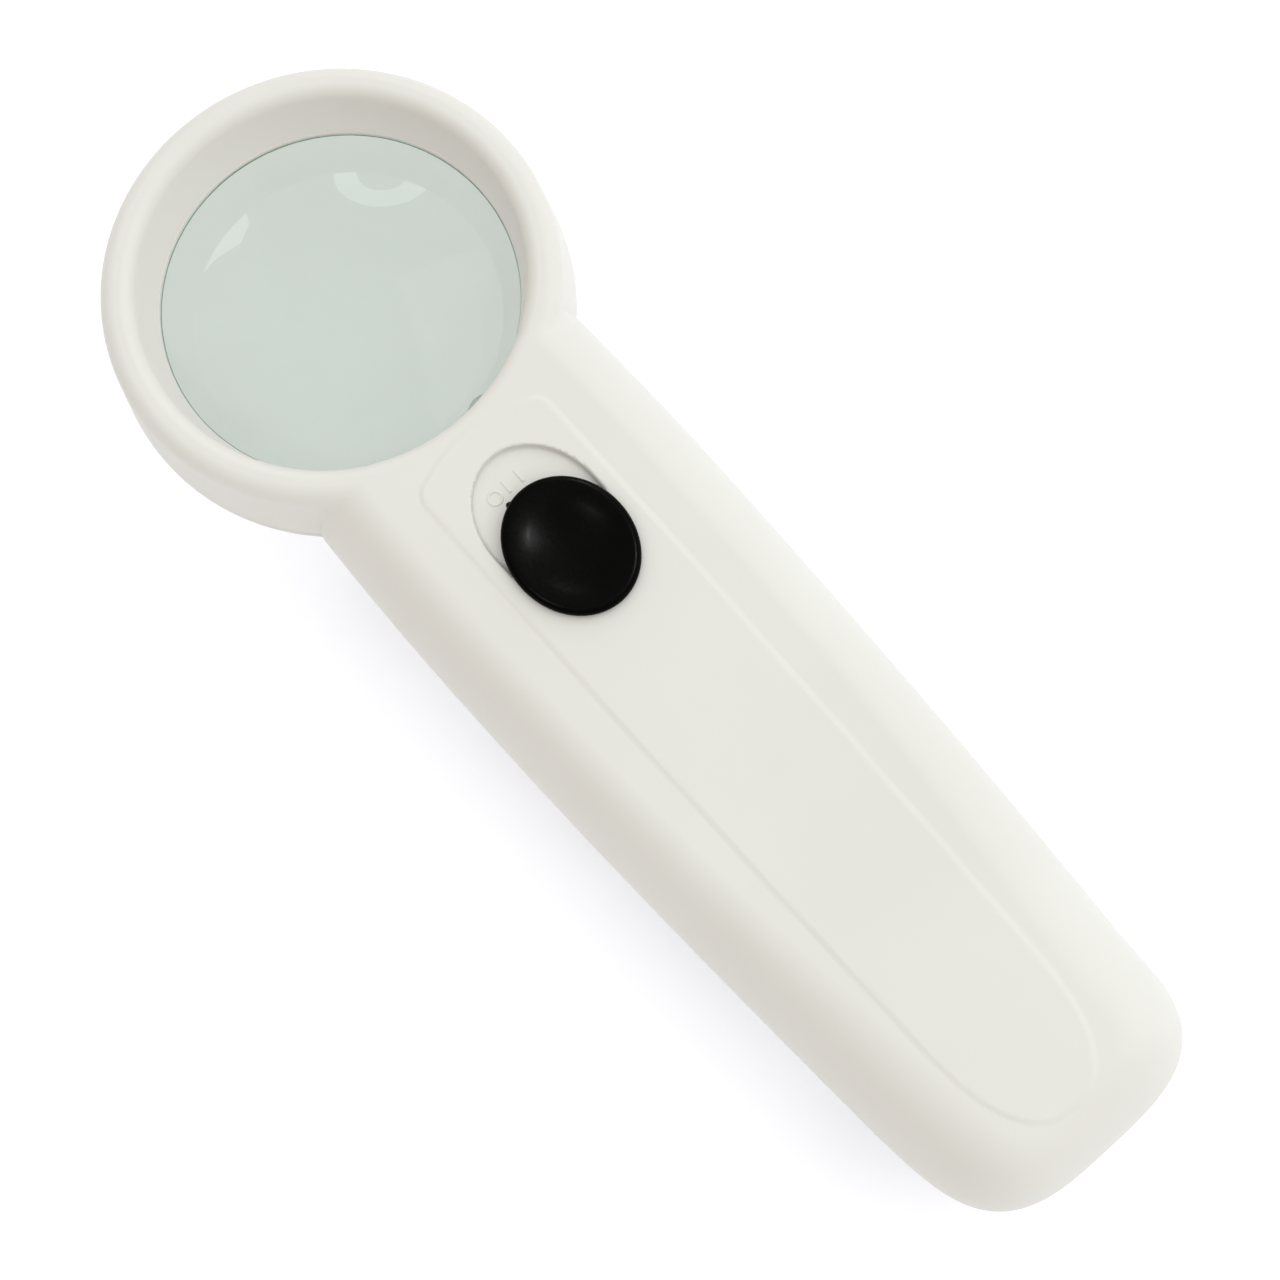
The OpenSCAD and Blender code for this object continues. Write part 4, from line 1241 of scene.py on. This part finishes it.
def make_world():
    """A soft room: bright above and towards +Y, dimmer and warmer low down towards -Y."""
    world = bpy.data.worlds.new("studio")
    SCENE.world = world
    world.use_nodes = True
    tree = world.node_tree
    where = tree.nodes.new("ShaderNodeTexCoord")
    facing = tree.nodes.new("ShaderNodeVectorMath")
    facing.operation = "DOT_PRODUCT"
    put(facing, 1, (0.0, 0.42, 0.9))
    put(facing, 0, where.outputs["Generated"])
    ramp = tree.nodes.new("ShaderNodeMapRange")
    put(ramp, "From Min", -0.35)
    put(ramp, "From Max", 0.9)
    put(ramp, "Value", facing.outputs["Value"])
    tone = tree.nodes.new("ShaderNodeMix")
    tone.data_type = "RGBA"
    put(tone, "A", (0.28, 0.205, 0.14, 1))
    put(tone, "B", (0.98, 1.0, 1.0, 1))
    put(tone, "Factor", ramp.outputs["Result"])
    sky = tree.nodes["Background"]
    put(sky, "Color", tone.outputs["Result"])
    put(sky, "Strength", 1.18)


def make_lights(knob):
    area_light("key", (0.35, 0.75, 1.1), (1.4, 1.4), 2.4)
    glossy = bpy.data.collections.new("glinting")
    glossy.objects.link(knob)
    for name, at, size, power in (
        ("window_glint", (0.142, 0.414, 0.69), (0.07, 0.14), 5.0),
        ("lamp_glint", (-0.017, -0.432, 0.694), (0.12, 0.12), 1.6),
        ("door_glint", (-0.455, 0.53, 0.42), (0.1, 0.3), 2.2),
    ):
        glint = area_light(name, at, size, power)
        glint.visible_diffuse = False
        glint.light_linking.receiver_collection = glossy


def card(name, obj, strength):
    """Makes an object a glowing card that only reflections see."""
    mat, tree, bsdf = shader(name + "_glow")
    put(bsdf, "Base Color", (0, 0, 0, 1))
    put(bsdf, "Emission Color", two_tone(tree, noise(tree, 9), (0.8, 0.83, 0.85), (1, 1, 1)))
    put(bsdf, "Emission Strength", strength)
    obj.data.materials.clear()
    obj.data.materials.append(mat)
    obj.visible_camera = False
    obj.visible_diffuse = False
    obj.visible_transmission = False
    obj.visible_shadow = False
    obj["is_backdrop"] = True


def make_cards():
    """What the lens mirrors: a tall window to the left and a round lamp shade up and to the right."""
    away = 700
    shade_at = Vector((-0.62, 0.5, 0.61)).normalized() * away
    shade = lathe("shade_card", [(62, 0), (118, 0), (118, 2), (62, 2)], 64, shade_at, -shade_at)
    card("shade_card", shade, 3.0)
    bm = bmesh.new()
    outline = [(-0.84, 0.08, 0.54), (-0.77, 0.04, 0.63), (-0.75, -0.03, 0.67), (-0.76, -0.13, 0.64),
               (-0.75, -0.21, 0.63), (-0.80, -0.17, 0.57), (-0.84, -0.08, 0.53), (-0.84, -0.01, 0.55)]
    bm.faces.new([bm.verts.new(Vector(way).normalized() * away) for way in outline])
    bmesh.ops.triangulate(bm, faces=bm.faces)
    card("window_card", finish_mesh("window_card", bm), 3.0)


def make_camera():
    """Looks down at the head, turned so that the handle runs to the lower right."""
    data = bpy.data.cameras.new("camera")
    data.lens = 56.25
    data.sensor_width = 36
    data.clip_start = 0.01
    camera = new_object("camera", data)
    right = Vector((0.6577, 0.7524, -0.0354))
    back = Vector((0.1788, -0.1103, 0.9777)).normalized()
    right = (right - back * right.dot(back)).normalized()
    turn = Matrix((right, back.cross(right), back)).transposed().to_4x4()
    camera.matrix_world = Matrix.Translation((0.0395, -0.0228, 0.2140)) @ turn
    SCENE.camera = camera


make_camera()
make_world()
make_stage()
make_cards()
make_shells()
make_lights(make_knob())
make_lens()
make_retaining_ring()
make_seat_bead()
make_marks()
make_lamps()
make_board()
make_resistor()
make_switch_parts()
make_cells()
make_contacts()
make_wires()
make_screws()
SCENE.view_settings.view_transform = "Standard"

boxes = {"cad": cad_box, "visual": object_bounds()}
{k: [[round(float(n), 5) for n in corner] for corner in v] for k, v in boxes.items()}
